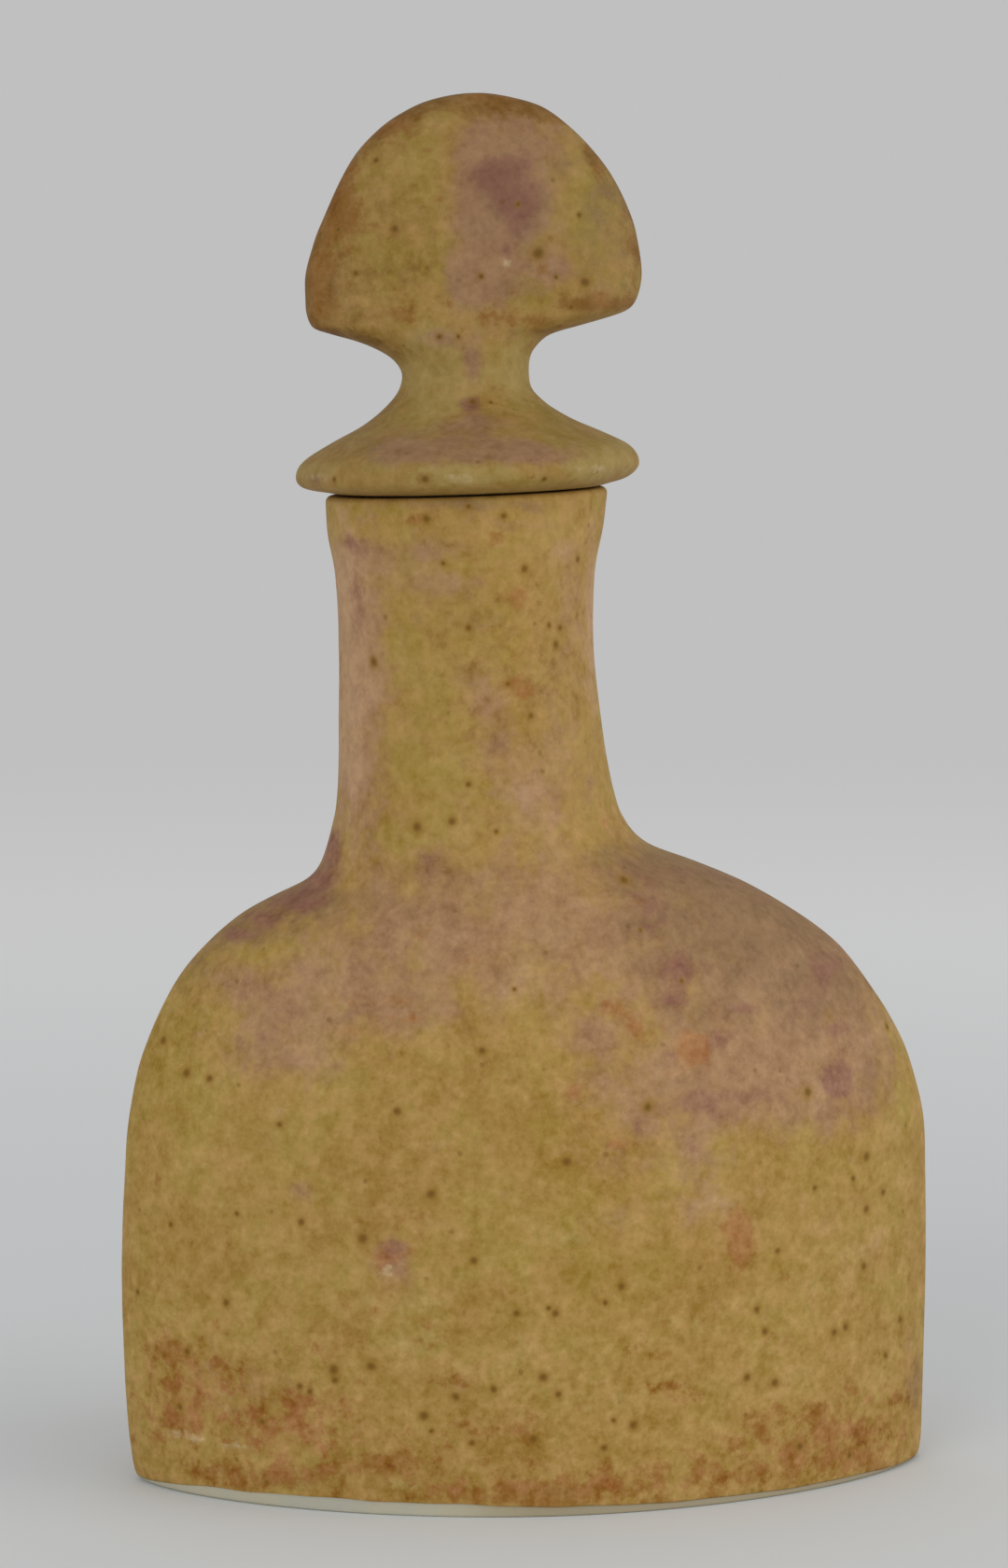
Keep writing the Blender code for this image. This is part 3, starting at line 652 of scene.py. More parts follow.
def turned(name, profile, count):
    """A piece turned about the Z axis: a point drawn out along its profile, which is spun once round."""
    bpy.ops.object.select_all(action="DESELECT")
    bpy.ops.mesh.primitive_plane_add(size=SHANK_LENGTH)
    piece = bpy.context.object
    piece.name = name
    piece.data.name = name
    bpy.ops.object.mode_set(mode="EDIT")
    bpy.ops.mesh.select_all(action="SELECT")
    bpy.ops.mesh.merge(type="CENTER")
    here = Vector((profile[0][0], 0.0, profile[0][1]))
    bpy.ops.transform.translate(value=here)
    for radius, height in profile[1:] + profile[:1]:
        there = Vector((radius, 0.0, height))
        bpy.ops.mesh.extrude_region_move(TRANSFORM_OT_translate={"value": there - here})
        here = there
    bpy.ops.mesh.select_all(action="SELECT")
    bpy.ops.mesh.spin(steps=count, angle=math.tau, center=(0.0, 0.0, 0.0), axis=(0.0, 0.0, 1.0))
    bpy.ops.mesh.select_all(action="SELECT")
    bpy.ops.mesh.remove_doubles(threshold=MERGE_REACH)
    bpy.ops.mesh.normals_make_consistent(inside=False)
    bpy.ops.object.mode_set(mode="OBJECT")
    return piece


def round_off(piece):
    """Divides a piece once more, so that its coarse rows turn into one smooth surface."""
    rounded = piece.modifiers.new("rounded", "SUBSURF")
    rounded.levels = 1
    rounded.render_levels = 1
    bpy.ops.object.modifier_apply(modifier=rounded.name)
    bpy.ops.object.shade_smooth()


def work_by_hand(piece, worked_rows, bare_rows):
    """Rounds a skinned piece off and gives its worked rows the slight unevenness of a hand-made wall."""
    rows = [row.value for row in piece.data.attributes["row"].data]
    bare = piece.data.attributes.new("bare", "FLOAT", "POINT")
    bare.data.foreach_set("value", [along(bare_rows, row) for row in rows])
    group = piece.vertex_groups.new(name="worked")
    for index, row in enumerate(rows):
        group.add([index], along(worked_rows, row), "REPLACE")
    for name in ("place", "row"):
        piece.data.attributes.remove(piece.data.attributes[name])
    round_off(piece)
    for size, strength in UNEVENNESS:
        clouds = bpy.data.textures.new("unevenness", "CLOUDS")
        clouds.noise_scale = size
        waves = piece.modifiers.new("waves", "DISPLACE")
        waves.texture = clouds
        waves.texture_coords = "LOCAL"
        waves.strength = strength
        waves.vertex_group = "worked"
        bpy.ops.object.modifier_apply(modifier=waves.name)
    piece.vertex_groups.clear()


def make_bottle_wall():
    """The glazed wall of body and neck in one skin: up the outside, over the lip and down the inside."""
    rings = [glaze_edge()]
    heights = even_heights(body_left, body_right, SLAB_THICKNESS / 2, BODY_HEIGHT, BODY_RINGS)
    for height in heights[:-1]:
        rings.append(level(body_section(height), height))
    straight = NECK_HEIGHT + LIP_RISE - LIP_ROUNDING
    for i in range(NECK_RINGS):
        height = straight * i / NECK_RINGS
        rings.append(neck_ring(height, neck_radius(height / NECK_HEIGHT), NECK_BOW))
    lip_row = len(rings)
    worked_rows = (
        (0, 0.0), (FOOT_FADE_ROWS[0], 0.0), (FOOT_FADE_ROWS[1], 1.0),
        (lip_row - LIP_FADE_ROWS[0], 1.0), (lip_row - LIP_FADE_ROWS[1], 0.0), (lip_row, 0.0),
    )
    mouth = LIP_RADIUS - NECK_WALL
    lip = rounding((LIP_RADIUS - LIP_ROUNDING, straight), LIP_ROUNDING, 0.0, math.pi / 2)
    bare_row = lip_row + len(lip) + BARE_START_ROWS
    lip += rounding((mouth + LIP_ROUNDING, straight), LIP_ROUNDING, math.pi / 2, math.pi)
    for radius, height in lip:
        rings.append(neck_ring(height, radius))
    for i in range(1, INNER_RINGS + 1):
        depth = blend(LIP_ROUNDING, NECK_HEIGHT, i / INNER_RINGS)
        rings.append(neck_ring(NECK_HEIGHT - depth, bore_radius(depth)))
    floor = SLAB_THICKNESS + SLAB_GAP
    heights = even_heights(body_left, body_right, floor, BODY_HEIGHT, INNER_RINGS)
    for height in heights[-2::-1]:
        rings.append(level(hollow_section(height), height))
    for height in (floor, SLAB_THICKNESS / 2):
        rings.append(level(body_section(height, GLAZE_THICKNESS), height))
    rings.append(glaze_edge(GLAZE_THICKNESS))
    last = len(rings)
    bare_rows = (
        (0, 0.0), (bare_row, 0.0), (bare_row + BARE_FADE_ROWS, 1.0),
        (last - BARE_FADE_ROWS, 1.0), (last, 0.0),
    )
    piece = skin("bottle_wall", rings, closed=True)
    work_by_hand(piece, worked_rows, bare_rows)
    return piece


def make_bare_foot():
    """The slab that the walls stand on, bare below the glaze, its lower edge worn round."""
    inset = GLAZE_THICKNESS + SKIRT_GAP
    rings = []
    for reach, height in rounding((FOOT_ROUNDING, FOOT_ROUNDING), FOOT_ROUNDING, -math.pi / 2, -math.pi):
        rings.append(level(body_section(height, inset + reach), height))
    for share in FOOT_HEIGHT_SHARES:
        height = SLAB_THICKNESS * share
        rings.append(level(body_section(height, inset), height))
    rings.insert(0, drawn_in(rings[0], FOOT_MIDDLE_SHARE))
    rings.append(drawn_in(rings[-1], FOOT_MIDDLE_SHARE))
    piece = skin("bare_foot", rings)
    round_off(piece)
    return piece


STOPPER_PLACE = (
    Matrix.Translation(LIP_CENTRE)
    @ Matrix.Rotation(-NECK_LEAN, 4, "Y")
    @ Matrix.Translation((STOPPER_OFFSET, 0.0, 0.0))
)


def grip_left(height):
    return -along(GRIP_OUTLINE, height, 1)


def grip_right(height):
    return along(GRIP_OUTLINE, height, 2)


def grip_section(height):
    """A section of the grip: round in the flange and the stem, a flat pillow in the knob."""
    left = grip_left(height)
    right = grip_right(height)
    if height < KNOB_FOOT:
        return section(left, right, (right - left) / 2, ROUND_POWERS, GRIP_POINTS)
    share = (height - KNOB_FOOT) / (KNOB_TOP - KNOB_FOOT)
    powers = form(ROUND_POWERS, PILLOW_POWERS, along(FLATNESS_SHARES, share))
    return section(left, right, KNOB_HALF_DEPTH * along(KNOB_DEPTH_SHARES, share), powers, GRIP_POINTS)


def make_stopper_grip():
    """Flange, stem and flat knob under one glaze, with the unlike sides of a thrown and pinched grip."""
    rings = []
    for share in SEAT_RADIUS_SHARES:
        radius = SEAT_RADIUS * share
        rings.append(level(section(-radius, radius, radius, ROUND_POWERS, GRIP_POINTS), SEAT_GAP))
    for height in even_heights(grip_left, grip_right, SEAT_GAP, KNOB_TOP, GRIP_RINGS):
        rings.append(level(grip_section(height), height))
    top = rings[-1]
    middle = Vector(((grip_left(KNOB_TOP) + grip_right(KNOB_TOP)) / 2, 0.0, KNOB_TOP))
    rings.append([Vector(point).lerp(middle, CROWN_MIDDLE_SHARE) for point in top])
    placed = [[STOPPER_PLACE @ Vector(point) for point in ring] for ring in rings]
    piece = skin("stopper_grip", placed)
    last = len(rings)
    worked_rows = (
        (0, 0.0), (SEAT_FADE_ROWS[0], 0.0), (SEAT_FADE_ROWS[1], 1.0),
        (last - CROWN_FADE_ROWS, 1.0), (last, 0.0),
    )
    bare_rows = ((0, 1.0), (SEAT_BARE_ROWS[0], 1.0), (SEAT_BARE_ROWS[1], 0.0))
    work_by_hand(piece, worked_rows, bare_rows)
    return piece


def make_stopper_shank():
    """The hollow shank, turned, open below, with faint throwing lines down its outside."""
    top = bore_radius(0.0) - SHANK_CLEARANCE
    bottom = bore_radius(SHANK_LENGTH) - SHANK_CLEARANCE
    end = SHANK_ROUNDING - SHANK_LENGTH
    profile = [(top - SHANK_WALL, 0.0), (top, 0.0)]
    for i in range(1, SHANK_RINGS + 1):
        height = blend(0.0, end, i / SHANK_RINGS)
        line = THROWING_DEPTH * math.sin(math.tau * height / THROWING_PITCH)
        profile.append((blend(top, bottom, i / SHANK_RINGS) - THROWING_DEPTH + line, height))
    profile += rounding((bottom - SHANK_ROUNDING, end), SHANK_ROUNDING, 0.0, -math.pi / 2)[1:]
    profile += rounding((bottom - SHANK_WALL + SHANK_ROUNDING, end), SHANK_ROUNDING, -math.pi / 2, -math.pi)
    profile.append((blend(bottom, top, 0.5) - SHANK_WALL, end / 2))
    piece = turned("stopper_shank", profile, SHANK_POINTS)
    bpy.context.view_layer.objects.active = piece
    piece.matrix_world = STOPPER_PLACE
    bpy.ops.object.transform_apply(location=True, rotation=True, scale=True)
    round_off(piece)
    return piece


def view_direction():
    """The camera's frame: to the right, up and ahead."""
    turn = Matrix.Rotation(-CAMERA_TURN, 3, "Z") @ Matrix.Rotation(math.pi / 2 - CAMERA_DIP, 3, "X")
    return turn.col[0].copy(), turn.col[1].copy(), -turn.col[2]


RIGHT, UP, AHEAD = view_direction()
FOCAL_PIXELS = CAMERA_LENS / CAMERA_SENSOR * PHOTO_HEIGHT


def through(x, y):
    """Direction from the camera through a pixel of the photograph."""
    return (
        AHEAD + RIGHT * ((x - PHOTO_WIDTH / 2) / FOCAL_PIXELS) - UP * ((y - PHOTO_HEIGHT / 2) / FOCAL_PIXELS)
    ).normalized()


def pixels(points):
    """Where points show in the photograph's frame."""
    away = points - np.array(CAMERA_PLACE)
    ahead = away @ np.array(AHEAD)
    x = PHOTO_WIDTH / 2 + FOCAL_PIXELS * (away @ np.array(RIGHT)) / ahead
    y = PHOTO_HEIGHT / 2 - FOCAL_PIXELS * (away @ np.array(UP)) / ahead
    return x, y


def oval_strengths(points, ovals):
    """How strongly each point is covered by soft-edged ovals."""
    x, y = pixels(points)
    clean = np.ones(len(points))
    for across, down, half_width, half_height, strength in ovals:
        reach = ((x - across) / half_width) ** 2 + ((y - down) / half_height) ** 2
        clean *= 1.0 - np.clip(strength * np.exp(-reach), 0.0, FULLEST_OVAL)
    return 1.0 - clean


def back_stains(kind, count, region, chance):
    """Stains of one kind for the side that the photograph doesn't show."""
    low, high = region
    ovals = []
    for _ in range(count):
        across = blend(low[0], high[0], chance.random())
        down = blend(low[1], high[1], chance.random())
        size = blend(*STAIN_SIZES[kind], chance.random() ** 2)
        stretch = blend(*STRETCH_RANGE, chance.random())
        strength = blend(*STRENGTH_RANGE, chance.random())
        ovals.append((across, down, size * stretch, size / stretch, strength))
    return ovals


def ramp(values, start, end):
    """0 up to the start, 1 from the end on, and even steps between them."""
    return np.clip((values - start) / (end - start), 0.0, 1.0)


def shade_and_thin_glaze_on_shoulders(points, normals):
    """Painted shade, with thinner glaze, where the body's wall turns up: the more a point faces up, the
    darker and browner.
    """
    return SHOULDER_SHADE_AND_THINNESS * ramp(normals[:, 2], *SHOULDER_SLOPES) * (points[:, 2] < BODY_HEIGHT)


def shade_and_thin_glaze_on_rim(points, normals):
    """Painted shade, with thinner glaze, round the rim of the knob: darker and browner, least on its right.
    """
    sideways = ramp(np.abs(normals[:, 1]), *RIM_SLOPES)
    leftward = blend(1.0, RIM_RIGHT_SHARE, ramp(points[:, 0] - LIP_CENTRE.x, *RIM_ACROSS))
    on_knob = ramp(points[:, 2] - LIP_CENTRE.z, *RIM_HEIGHTS)
    return RIM_SHADE_AND_THINNESS * sideways * leftward * on_knob


def per_point(piece, what):
    """The places or the normals of a piece's points, a row each."""
    values = np.empty(len(piece.data.vertices) * 3)
    piece.data.vertices.foreach_get(what, values)
    return values.reshape(-1, 3)


def paint_stains_light_and_shade(piece, ovals, region, wrap, chance, shade_and_thin_glaze_kind, shade_and_thin_glaze):
    """Paints a piece's ovals of colour, painted shade and painted light on its points, an attribute for each
    kind. One kind also gets painted shade with thinner glaze.

    The front's ovals run on round the sides, and within the wrap they give way to the back's.
    """
    points = per_point(piece, "co")
    normals = per_point(piece, "normal")
    behind = ramp(points[:, 1], 0.0, wrap)
    flat = np.column_stack((points[:, 0], -np.abs(points[:, 1]), points[:, 2]))
    for kind in STAIN_SIZES:
        front = oval_strengths(flat, ovals.get(kind, ()))
        back = oval_strengths(flat, back_stains(kind, BACK_STAINS[kind], region, chance))
        layer = piece.data.attributes.new(kind, "FLOAT", "POINT")
        strengths = blend(front, back, behind)
        if kind == shade_and_thin_glaze_kind:
            strengths = 1.0 - (1.0 - strengths) * (1.0 - shade_and_thin_glaze(points, normals))
        layer.data.foreach_set("value", strengths)


def find_specks(piece, marks):
    """Places and radii of iron specks, where the view through each mark meets the piece."""
    specks = []
    for across, down, width in marks:
        direction = through(across, down)
        hit, place, _, _ = piece.ray_cast(CAMERA_PLACE, direction)
        if hit:
            distance = (place - CAMERA_PLACE).dot(AHEAD)
            specks.append((place.copy(), width / 2 * distance / FOCAL_PIXELS))
    return specks


class Wire:
    """A shader socket that takes part in sums, so that shader maths reads as sums."""

    def __init__(self, finish, socket):
        self.finish = finish
        self.socket = socket

    def __add__(self, other):
        return self.finish.maths("ADD", self, other)

    def __sub__(self, other):
        return self.finish.maths("SUBTRACT", self, other)

    def __rsub__(self, other):
        return self.finish.maths("SUBTRACT", other, self)

    def __mul__(self, other):
        return self.finish.maths("MULTIPLY", self, other)

    __radd__ = __add__
    __rmul__ = __mul__


class Finish:
    """A material, to which nodes are added one by one."""

    def __init__(self, name):
        self.material = bpy.data.materials.new(name)
        self.material.use_nodes = True
        self.tree = self.material.node_tree
        self.tree.nodes.clear()

    def node(self, kind, settings=None, sockets=None, output=0):
        """Adds a node, its settings first and then a value or a link for each socket. Returns one output."""
        node = self.tree.nodes.new("ShaderNode" + kind)
        for name, value in (settings or {}).items():
            setattr(node, name, value)
        for name, value in (sockets or {}).items():
            if isinstance(value, Wire):
                self.tree.links.new(value.socket, node.inputs[name])
            else:
                node.inputs[name].default_value = value
        return Wire(self, node.outputs[output])

    def maths(self, operation, first, second):
        return self.node("Math", {"operation": operation}, {0: first, 1: second})

    def mix(self, mask, below, above):
        """One colour over another, where the mask is 1."""
        return self.node("Mix", {"data_type": "RGBA"}, {0: mask, 6: below, 7: above}, 2)

    def vector(self, operation, first, second=(0.0, 0.0, 0.0), output=0):
        """Maths on two places or two colours."""
        return self.node("VectorMath", {"operation": operation}, {0: first, 1: second}, output)

    def scale(self, vector, amount):
        """A place or a colour times a number."""
        return self.node("VectorMath", {"operation": "SCALE"}, {0: vector, 3: amount})

    def step(self, value, low, high):
        """A soft step from 0 to 1."""
        return self.node(
            "MapRange",
            {"interpolation_type": "SMOOTHSTEP"},
            {"Value": value, "From Min": low, "From Max": high},
        )

    def spot(self, shift=(0.0, 0.0, 0.0)):
        """Place on the piece, moved so that no two patterns line up."""
        return self.vector("ADD", self.node("TexCoord", output="Object"), shift)

    def place(self, axis):
        """Place on the piece along one axis."""
        return self.node("SeparateXYZ", None, {0: self.spot()}, axis)

    def painted(self, kind):
        """How strongly one kind of mark, painted shade and painted light included, or bare clay, is painted
        on the piece.
        """
        return self.node("Attribute", {"attribute_name": kind}, output="Fac")

    def noise(self, size, shift, detail=3.0, roughness=0.55, output="Fac"):
        """Cloudy noise whose clouds are about that many metres across."""
        sockets = {"Vector": self.spot(shift), "Scale": 1 / size, "Detail": detail, "Roughness": roughness}
        return self.node("TexNoise", None, sockets, output)

    def surface(self, colour, roughness, relief, depth):
        """Ends the material in one shader, with relief of that depth."""
        normal = self.node("Bump", None, {"Distance": depth, "Height": relief}, "Normal")
        looks = {"Base Color": colour, "Roughness": roughness, "Specular IOR Level": SHEEN, "Normal": normal}
        self.end(self.node("BsdfPrincipled", None, looks))
        return self.material

    def end(self, shader):
        output = self.tree.nodes.new("ShaderNodeOutputMaterial")
        self.tree.links.new(shader.socket, output.inputs["Surface"])


def tone(red, green, blue):
    """Colour of a surface that shows as these sRGB values under the studio light."""
    shares = []
    for value in (red, green, blue):
        share = value / 255
        linear = ((share + 0.055) / 1.055) ** 2.4
        shares.append(max(linear - SHEEN_SHARE, 0.0) / LIGHT_SHARE)
    return (*shares, 1.0)


# Colours of glaze and clay as they show in the photograph, turned into those of the surface.
OCHRE = tone(153, 121, 64)
LIGHT_OCHRE = tone(158, 127, 69)
OLIVE = tone(149, 124, 61)
RUDDY = tone(157, 121, 67)
HALO = tone(133, 99, 36)
IRON = tone(106, 75, 27)
RAW_CLAY = tone(168, 152, 120)
PORCELAIN = tone(170, 168, 154)
PORCELAIN_WARM = tone(176, 170, 148)
PORCELAIN_DARK = tone(140, 136, 118)
# Painted shade on the bare foot's band, darker and warmer than the clay.
CLAY_SHADE = tone(150, 138, 113)

# The floor's paper, near the object and far off.
FLOOR_TONE = (0.785, 0.81, 0.82, 1.0)
FLOOR_TONE_FAR = (0.96, 0.96, 0.96, 1.0)

# Patterns in glaze and clay: size, and then where each starts, its detail and its roughness.
GLAZE_CLOUD_SIZE = 0.021
GLAZE_PATCHES = (0.0080, (0.31, 0.12, 0.05), 5.0, 0.60)
GLAZE_MOTTLE = (0.0032, (0.07, 0.43, 0.21), 4.0, 0.60)
GLAZE_GRAIN = (0.0012, (0.55, 0.02, 0.37), 4.0, 0.70)
CLAY_CLOUDS = (0.0090, (0.11, 0.27, 0.40))
CLAY_GRAIN = (0.0007, (0.60, 0.35, 0.12), 4.0, 0.65)

# Where a pattern's colour comes in and is full, how much it covers, and how ragged bare clay's edge is.
CLOUD_STEP = (0.38, 0.62)
PATCH_STEP = (0.46, 0.64)
PATCH_COVER = 0.70
MOTTLE_STEP = (0.50, 0.66)
MOTTLE_COVER = 0.60
BARE_STEP = (0.55, 0.80)
BARE_RAGGEDNESS = 0.30

# What one unit of grain adds to the glaze's colour, so that lighter grain is chalky and darker grain golden,
# and the darkest that the glaze gets from it.
CHALK = (0.583, 0.436, 0.233)
DARKEST = (0.010, 0.008, 0.004)

# How far the colour swings with each pattern, all over the wall, and more near the foot.
GRAIN_SWING = 1.05
MOTTLE_SWING = 0.95
PATCH_SWING = 0.60
WALL_SWING = 0.50
FOOT_SWING = 0.12

# How much less it swings under brown stains and painted shade, mostly on the shoulders, and on the neck, and
# how much darker the neck is.
SHOULDER_CALM = 0.20
NECK_CALM = 0.08
NECK_SHADE = 0.02

# Heights over which the foot's share ends and the neck's begins.
FOOT_HEIGHTS = (0.004, 0.045)
NECK_HEIGHTS = (0.085, 0.105)

# How far patterns in the glaze waver, and over what size.
WAVER = 0.0006
WAVER_SIZE = 0.0035

# Specks too small to be placed one by one: how far apart their cells lie, and their edge, shares and cover.
FINE_SPECK_SPACING = 0.0042
FINE_SPECK_EDGE = (0.05, 0.13)
FINE_SPECK_LUCK = (0.52, 0.60)
FINE_SPECK_COVER = 0.45

# Placed specks: from where to where, in their own radii, halo and core fade, how much they cover, and a
# distance past all of them.
HALO_EDGE = (0.50, 2.60)
HALO_COVER = 0.58
CORE_EDGE = (0.20, 1.35)
CORE_COVER = 0.88
FAR_AWAY = 1000.0

# Bare porcelain: where its warm clouds, its pits and, across the foot, its painted shade come in, how much
# the pits cover, how ragged the painted shade is, and how much of it the foot and the shank get.
WARM_STEP = (0.35, 0.68)
PIT_STEP = (0.60, 0.74)
PIT_COVER = 0.35
CLAY_SHADE_PLACE = (-0.012, 0.006)
CLAY_SHADE_RAGGEDNESS = 0.010
FOOT_CLAY_SHADE = 0.85
SHANK_CLAY_SHADE = 0.0

# Feel of the surfaces: roughness and what grain adds to it, depth of the relief, what grain and mottle add to
# the glaze's, and sheen.
GLAZE_ROUGHNESS = (0.62, 0.16)
CLAY_ROUGHNESS = (0.78, 0.12)
GLAZE_RELIEF = 0.00006
CLAY_RELIEF = 0.00004
GRAIN_RELIEF_SHARE = 0.5
MOTTLE_RELIEF_SHARE = 0.8
SHEEN = 0.3

# The glaze on bottle and stopper: where its pattern starts, and how light it shows.
BOTTLE_SHIFT = (0.0, 0.0, 0.0)
BOTTLE_SHADE = 1.0
STOPPER_SHIFT = (0.4, 0.2, 0.1)
STOPPER_SHADE = 0.82

# The ragged edge of each kind, stains and painted shade alike: where its pattern starts, in its own sizes,
# and its detail and roughness.
OVAL_EDGE_SHIFT = (60, 35, 80)
OVAL_EDGE = (6.0, 0.68)

# Kind of mark, its colour, how much it covers, size of its ragged edges, how ragged they are, where it
# begins and how softly. Some kinds carry painted shade and painted light as well as stains.
STAIN_LIGHT_AND_SHADE_COLOURS = (
    ("olive", tone(147, 124, 57), 0.65, 0.0060, 2.2, 0.25, 0.75),
    ("lemon_and_painted_light", tone(160, 137, 80), 0.75, 0.0032, 2.4, 0.30, 0.60),
    ("pink", tone(150, 114, 87), 0.80, 0.0050, 1.7, 0.15, 0.75),
    ("blush_and_painted_light", tone(171, 137, 103), 0.80, 0.0050, 1.7, 0.15, 0.75),
    ("umber_and_painted_shade", tone(126, 99, 70), 0.75, 0.0045, 1.7, 0.20, 0.80),
    ("amber_and_painted_shade", tone(128, 92, 44), 0.95, 0.0030, 2.0, 0.20, 0.70),
    ("rust", tone(139, 97, 47), 0.85, 0.0028, 3.2, 0.30, 0.60),
    ("coral", tone(152, 103, 62), 0.75, 0.0028, 2.2, 0.30, 0.60),
    ("mauve", tone(130, 90, 73), 0.88, 0.0040, 1.7, 0.26, 0.75),
    ("pale", tone(178, 156, 118), 0.75, 0.0016, 2.4, 0.45, 0.60),
)


def nearest_speck(finish, spot, specks):
    """How far the nearest speck lies, in that speck's own radii."""
    nearest = FAR_AWAY
    for place, radius in specks:
        distance = finish.vector("DISTANCE", spot, place, "Value")
        nearest = finish.maths("MINIMUM", distance * (1 / radius), nearest)
    return nearest


def fine_specks(finish, spot):
    """Where the specks lie that are too small to be placed: in some of the cells, chosen by luck."""
    sockets = {"Vector": spot, "Scale": 1 / FINE_SPECK_SPACING}
    distance = finish.node("TexVoronoi", {"feature": "F1"}, sockets, "Distance")
    cell = finish.node("TexVoronoi", {"feature": "F1"}, sockets, "Color")
    luck = finish.node("SeparateColor", None, {"Color": cell}, "Red")
    return (1 - finish.step(distance, *FINE_SPECK_EDGE)) * finish.step(luck, *FINE_SPECK_LUCK)


def glaze(name, specks, shift, shade):
    """The matt ochre glaze, clouded with olive and tan, stained mauve, pink and rust, with painted shade and
    painted light among its marks, and full of specks.
    """
    finish = Finish(name)
    drift = finish.noise(WAVER_SIZE, shift, detail=2.0, output="Color")
    centred = finish.spot((-WAVER / 2, -WAVER / 2, -WAVER / 2))
    spot = finish.vector("ADD", centred, finish.scale(drift, WAVER))

    clouds = finish.noise(GLAZE_CLOUD_SIZE, shift)
    patches = finish.noise(*GLAZE_PATCHES)
    mottle = finish.noise(*GLAZE_MOTTLE)
    grain = finish.noise(*GLAZE_GRAIN)

    colour = finish.mix(finish.step(clouds, *CLOUD_STEP), OCHRE, LIGHT_OCHRE)
    colour = finish.mix(finish.step(patches, *PATCH_STEP) * PATCH_COVER, colour, OLIVE)
    colour = finish.mix(finish.step(mottle, *MOTTLE_STEP) * MOTTLE_COVER, colour, RUDDY)

    for kind, mark_colour, strength, size, raggedness, scatter, softness in STAIN_LIGHT_AND_SHADE_COLOURS:
        edge = finish.noise(size, [size * times for times in OVAL_EDGE_SHIFT], *OVAL_EDGE)
        amount = finish.painted(kind) + (edge - 0.5) * raggedness
        colour = finish.mix(finish.step(amount, scatter, scatter + softness) * strength, colour, mark_colour)

    height = finish.place("Z")
    rough_foot = 1 - finish.step(height, *FOOT_HEIGHTS)
    calm_neck = finish.step(height, *NECK_HEIGHTS)
    # Grain swings less under the brown stains and painted shade.
    umber_and_shade_cover = finish.painted("umber_and_painted_shade")
    swing = (grain - 0.5) * GRAIN_SWING + (mottle - 0.5) * MOTTLE_SWING + (patches - 0.5) * PATCH_SWING
    calm = umber_and_shade_cover * SHOULDER_CALM + calm_neck * NECK_CALM
    chalk = finish.scale(CHALK, swing * (WALL_SWING + rough_foot * FOOT_SWING - calm))
    colour = finish.vector("MAXIMUM", finish.vector("ADD", colour, chalk), DARKEST)

    colour = finish.mix(fine_specks(finish, spot) * FINE_SPECK_COVER, colour, IRON)
    if specks:
        distance = nearest_speck(finish, spot, specks)
        colour = finish.mix((1 - finish.step(distance, *HALO_EDGE)) * HALO_COVER, colour, HALO)
        colour = finish.mix((1 - finish.step(distance, *CORE_EDGE)) * CORE_COVER, colour, IRON)

    colour = finish.scale(colour, shade - calm_neck * NECK_SHADE)
    bare = finish.painted("bare") + mottle * BARE_RAGGEDNESS
    colour = finish.mix(finish.step(bare, *BARE_STEP), colour, RAW_CLAY)
    roughness = GLAZE_ROUGHNESS[0] + grain * GLAZE_ROUGHNESS[1]
    relief = grain * GRAIN_RELIEF_SHARE + mottle * MOTTLE_RELIEF_SHARE
    return finish.surface(colour, roughness, relief, GLAZE_RELIEF)


def porcelain(name, shaded):
    """Bare fired porcelain: pale, dry and faintly stained, with painted shade, darker and warmer, on one
    side.
    """
    finish = Finish(name)
    clouds = finish.noise(*CLAY_CLOUDS)
    grain = finish.noise(*CLAY_GRAIN)
    colour = finish.mix(finish.step(clouds, *WARM_STEP), PORCELAIN, PORCELAIN_WARM)
    # Painted shade comes in across the foot towards its right.
    across = finish.place("X") + clouds * CLAY_SHADE_RAGGEDNESS
    colour = finish.mix(finish.step(across, *CLAY_SHADE_PLACE) * shaded, colour, CLAY_SHADE)
    colour = finish.mix(finish.step(grain, *PIT_STEP) * PIT_COVER, colour, PORCELAIN_DARK)
    roughness = CLAY_ROUGHNESS[0] + grain * CLAY_ROUGHNESS[1]
    return finish.surface(colour, roughness, grain, CLAY_RELIEF)


def floor_finish():
    """Pale paper that fades out well before its edge, so that the studio shows no horizon."""
    finish = Finish("floor_paper")
    reach = finish.vector("LENGTH", finish.spot(), output="Value")
    paper = finish.mix(finish.step(reach, *FLOOR_BRIGHTENS), FLOOR_TONE, FLOOR_TONE_FAR)
    diffuse = finish.node("BsdfDiffuse", None, {"Color": paper}, "BSDF")
    clear = finish.node("BsdfTransparent", None, None, "BSDF")
    faded = finish.node("MixShader", None, {0: finish.step(reach, *FLOOR_FADE), 1: diffuse, 2: clear})
    finish.end(faded)
    return finish.material


def dress(piece, body, slot, material, *nodes):
    """Gives a piece its finish, its body and the nodes that it stands for."""
    piece.data.materials.clear()
    piece.data.materials.append(material)
    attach(piece, body)
    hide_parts(*nodes)


def make_floor():
    bpy.ops.object.select_all(action="DESELECT")
    bpy.ops.mesh.primitive_plane_add(size=2 * FLOOR_FADE[1] + FLOOR_MARGIN, location=(0.0, 0.0, -FLOOR_DROP))
    floor = bpy.context.object
    floor.name = "studio_floor"
    bpy.ops.object.transform_apply(location=True, rotation=True, scale=True)
    floor.data.materials.append(floor_finish())


def make_light(name, place, target, size, watts):
    """A large soft lamp that shines on a target and isn't seen itself."""
    bpy.ops.object.light_add(type="AREA", location=place)
    lamp = bpy.context.object
    lamp.name = name
    lamp.data.size = size
    lamp.data.energy = watts
    lamp.rotation_euler = (Vector(target) - Vector(place)).to_track_quat("-Z", "Y").to_euler()
    lamp.visible_camera = False


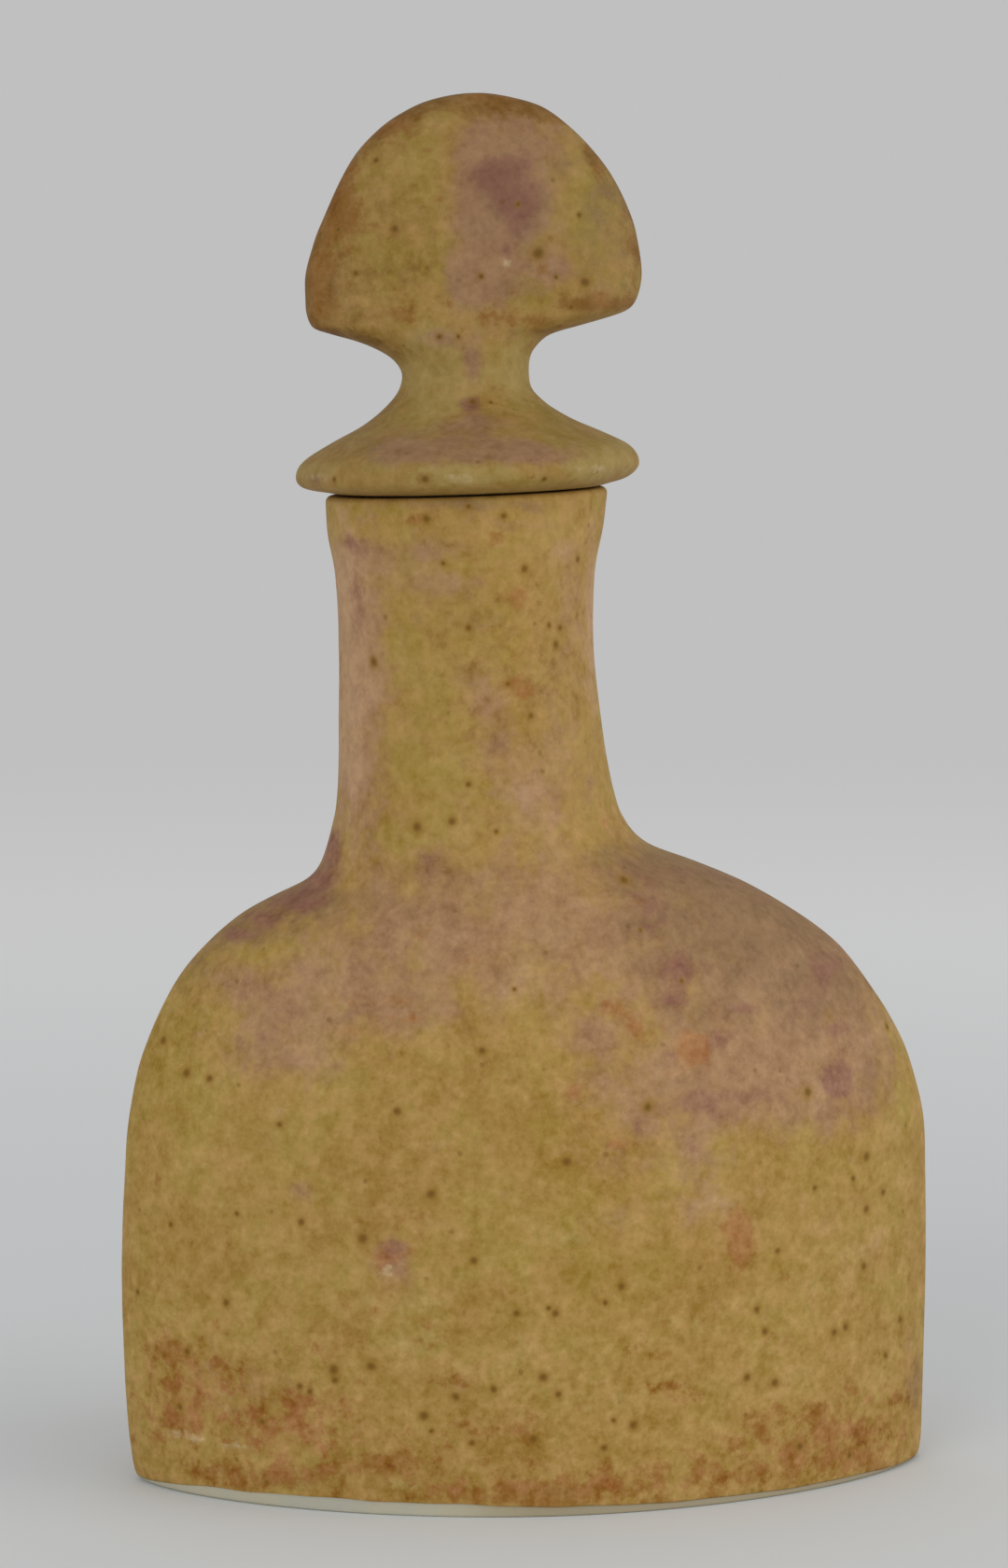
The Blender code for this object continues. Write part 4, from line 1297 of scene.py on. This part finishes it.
def make_studio():
    """Plain pale surroundings, soft lamps and the camera where the photograph was taken from."""
    scene = bpy.context.scene
    scene.view_settings.view_transform = "Standard"
    world = bpy.data.worlds.new("studio")
    scene.world = world
    world.use_nodes = True
    world.node_tree.nodes["Background"].inputs["Color"].default_value = (SURROUND, SURROUND, SURROUND, 1.0)
    middle = (0.0, 0.0, BODY_HEIGHT)
    for name, place, size, watts in LAMPS:
        make_light(name, place, middle, size, watts)
    bpy.ops.object.camera_add(
        location=CAMERA_PLACE, rotation=(math.pi / 2 - CAMERA_DIP, 0.0, -CAMERA_TURN)
    )
    camera = bpy.context.object
    camera.name = "camera"
    camera.data.lens = CAMERA_LENS
    camera.data.sensor_width = CAMERA_SENSOR
    scene.camera = camera


def main():
    make_studio()
    make_floor()
    chance = random.Random(BACK_SEED)

    wall = make_bottle_wall()
    # Stains, painted shade and painted light on the wall, and painted shade with thinner glaze where the
    # shoulders turn up.
    paint_stains_light_and_shade(wall, BOTTLE_STAINS_LIGHT_AND_SHADE, BOTTLE_REGION, BOTTLE_WRAP, chance, "umber_and_painted_shade", shade_and_thin_glaze_on_shoulders)
    wall_glaze = glaze("bottle_glaze", find_specks(wall, BOTTLE_SPECKS), BOTTLE_SHIFT, BOTTLE_SHADE)
    dress(wall, "bottle", "glaze", wall_glaze, "front_wall", "back_wall", "neck")

    foot = make_bare_foot()
    # The bare foot, with painted shade towards its right.
    dress(foot, "bottle", "bare_porcelain", porcelain("foot_porcelain", FOOT_CLAY_SHADE), "base_slab")

    grip = make_stopper_grip()
    # Stains, painted shade and painted light on the grip, and painted shade with thinner glaze round the
    # knob's rim.
    paint_stains_light_and_shade(grip, GRIP_STAINS_LIGHT_AND_SHADE, GRIP_REGION, GRIP_WRAP, chance, "amber_and_painted_shade", shade_and_thin_glaze_on_rim)
    grip_glaze = glaze("stopper_glaze", find_specks(grip, GRIP_SPECKS), STOPPER_SHIFT, STOPPER_SHADE)
    dress(grip, "stopper", "glaze", grip_glaze, "stopper_flange", "stopper_knob")

    shank = make_stopper_shank()
    dress(shank, "stopper", "bare_porcelain", porcelain("shank_porcelain", SHANK_CLAY_SHADE), "stopper_plug")


main()
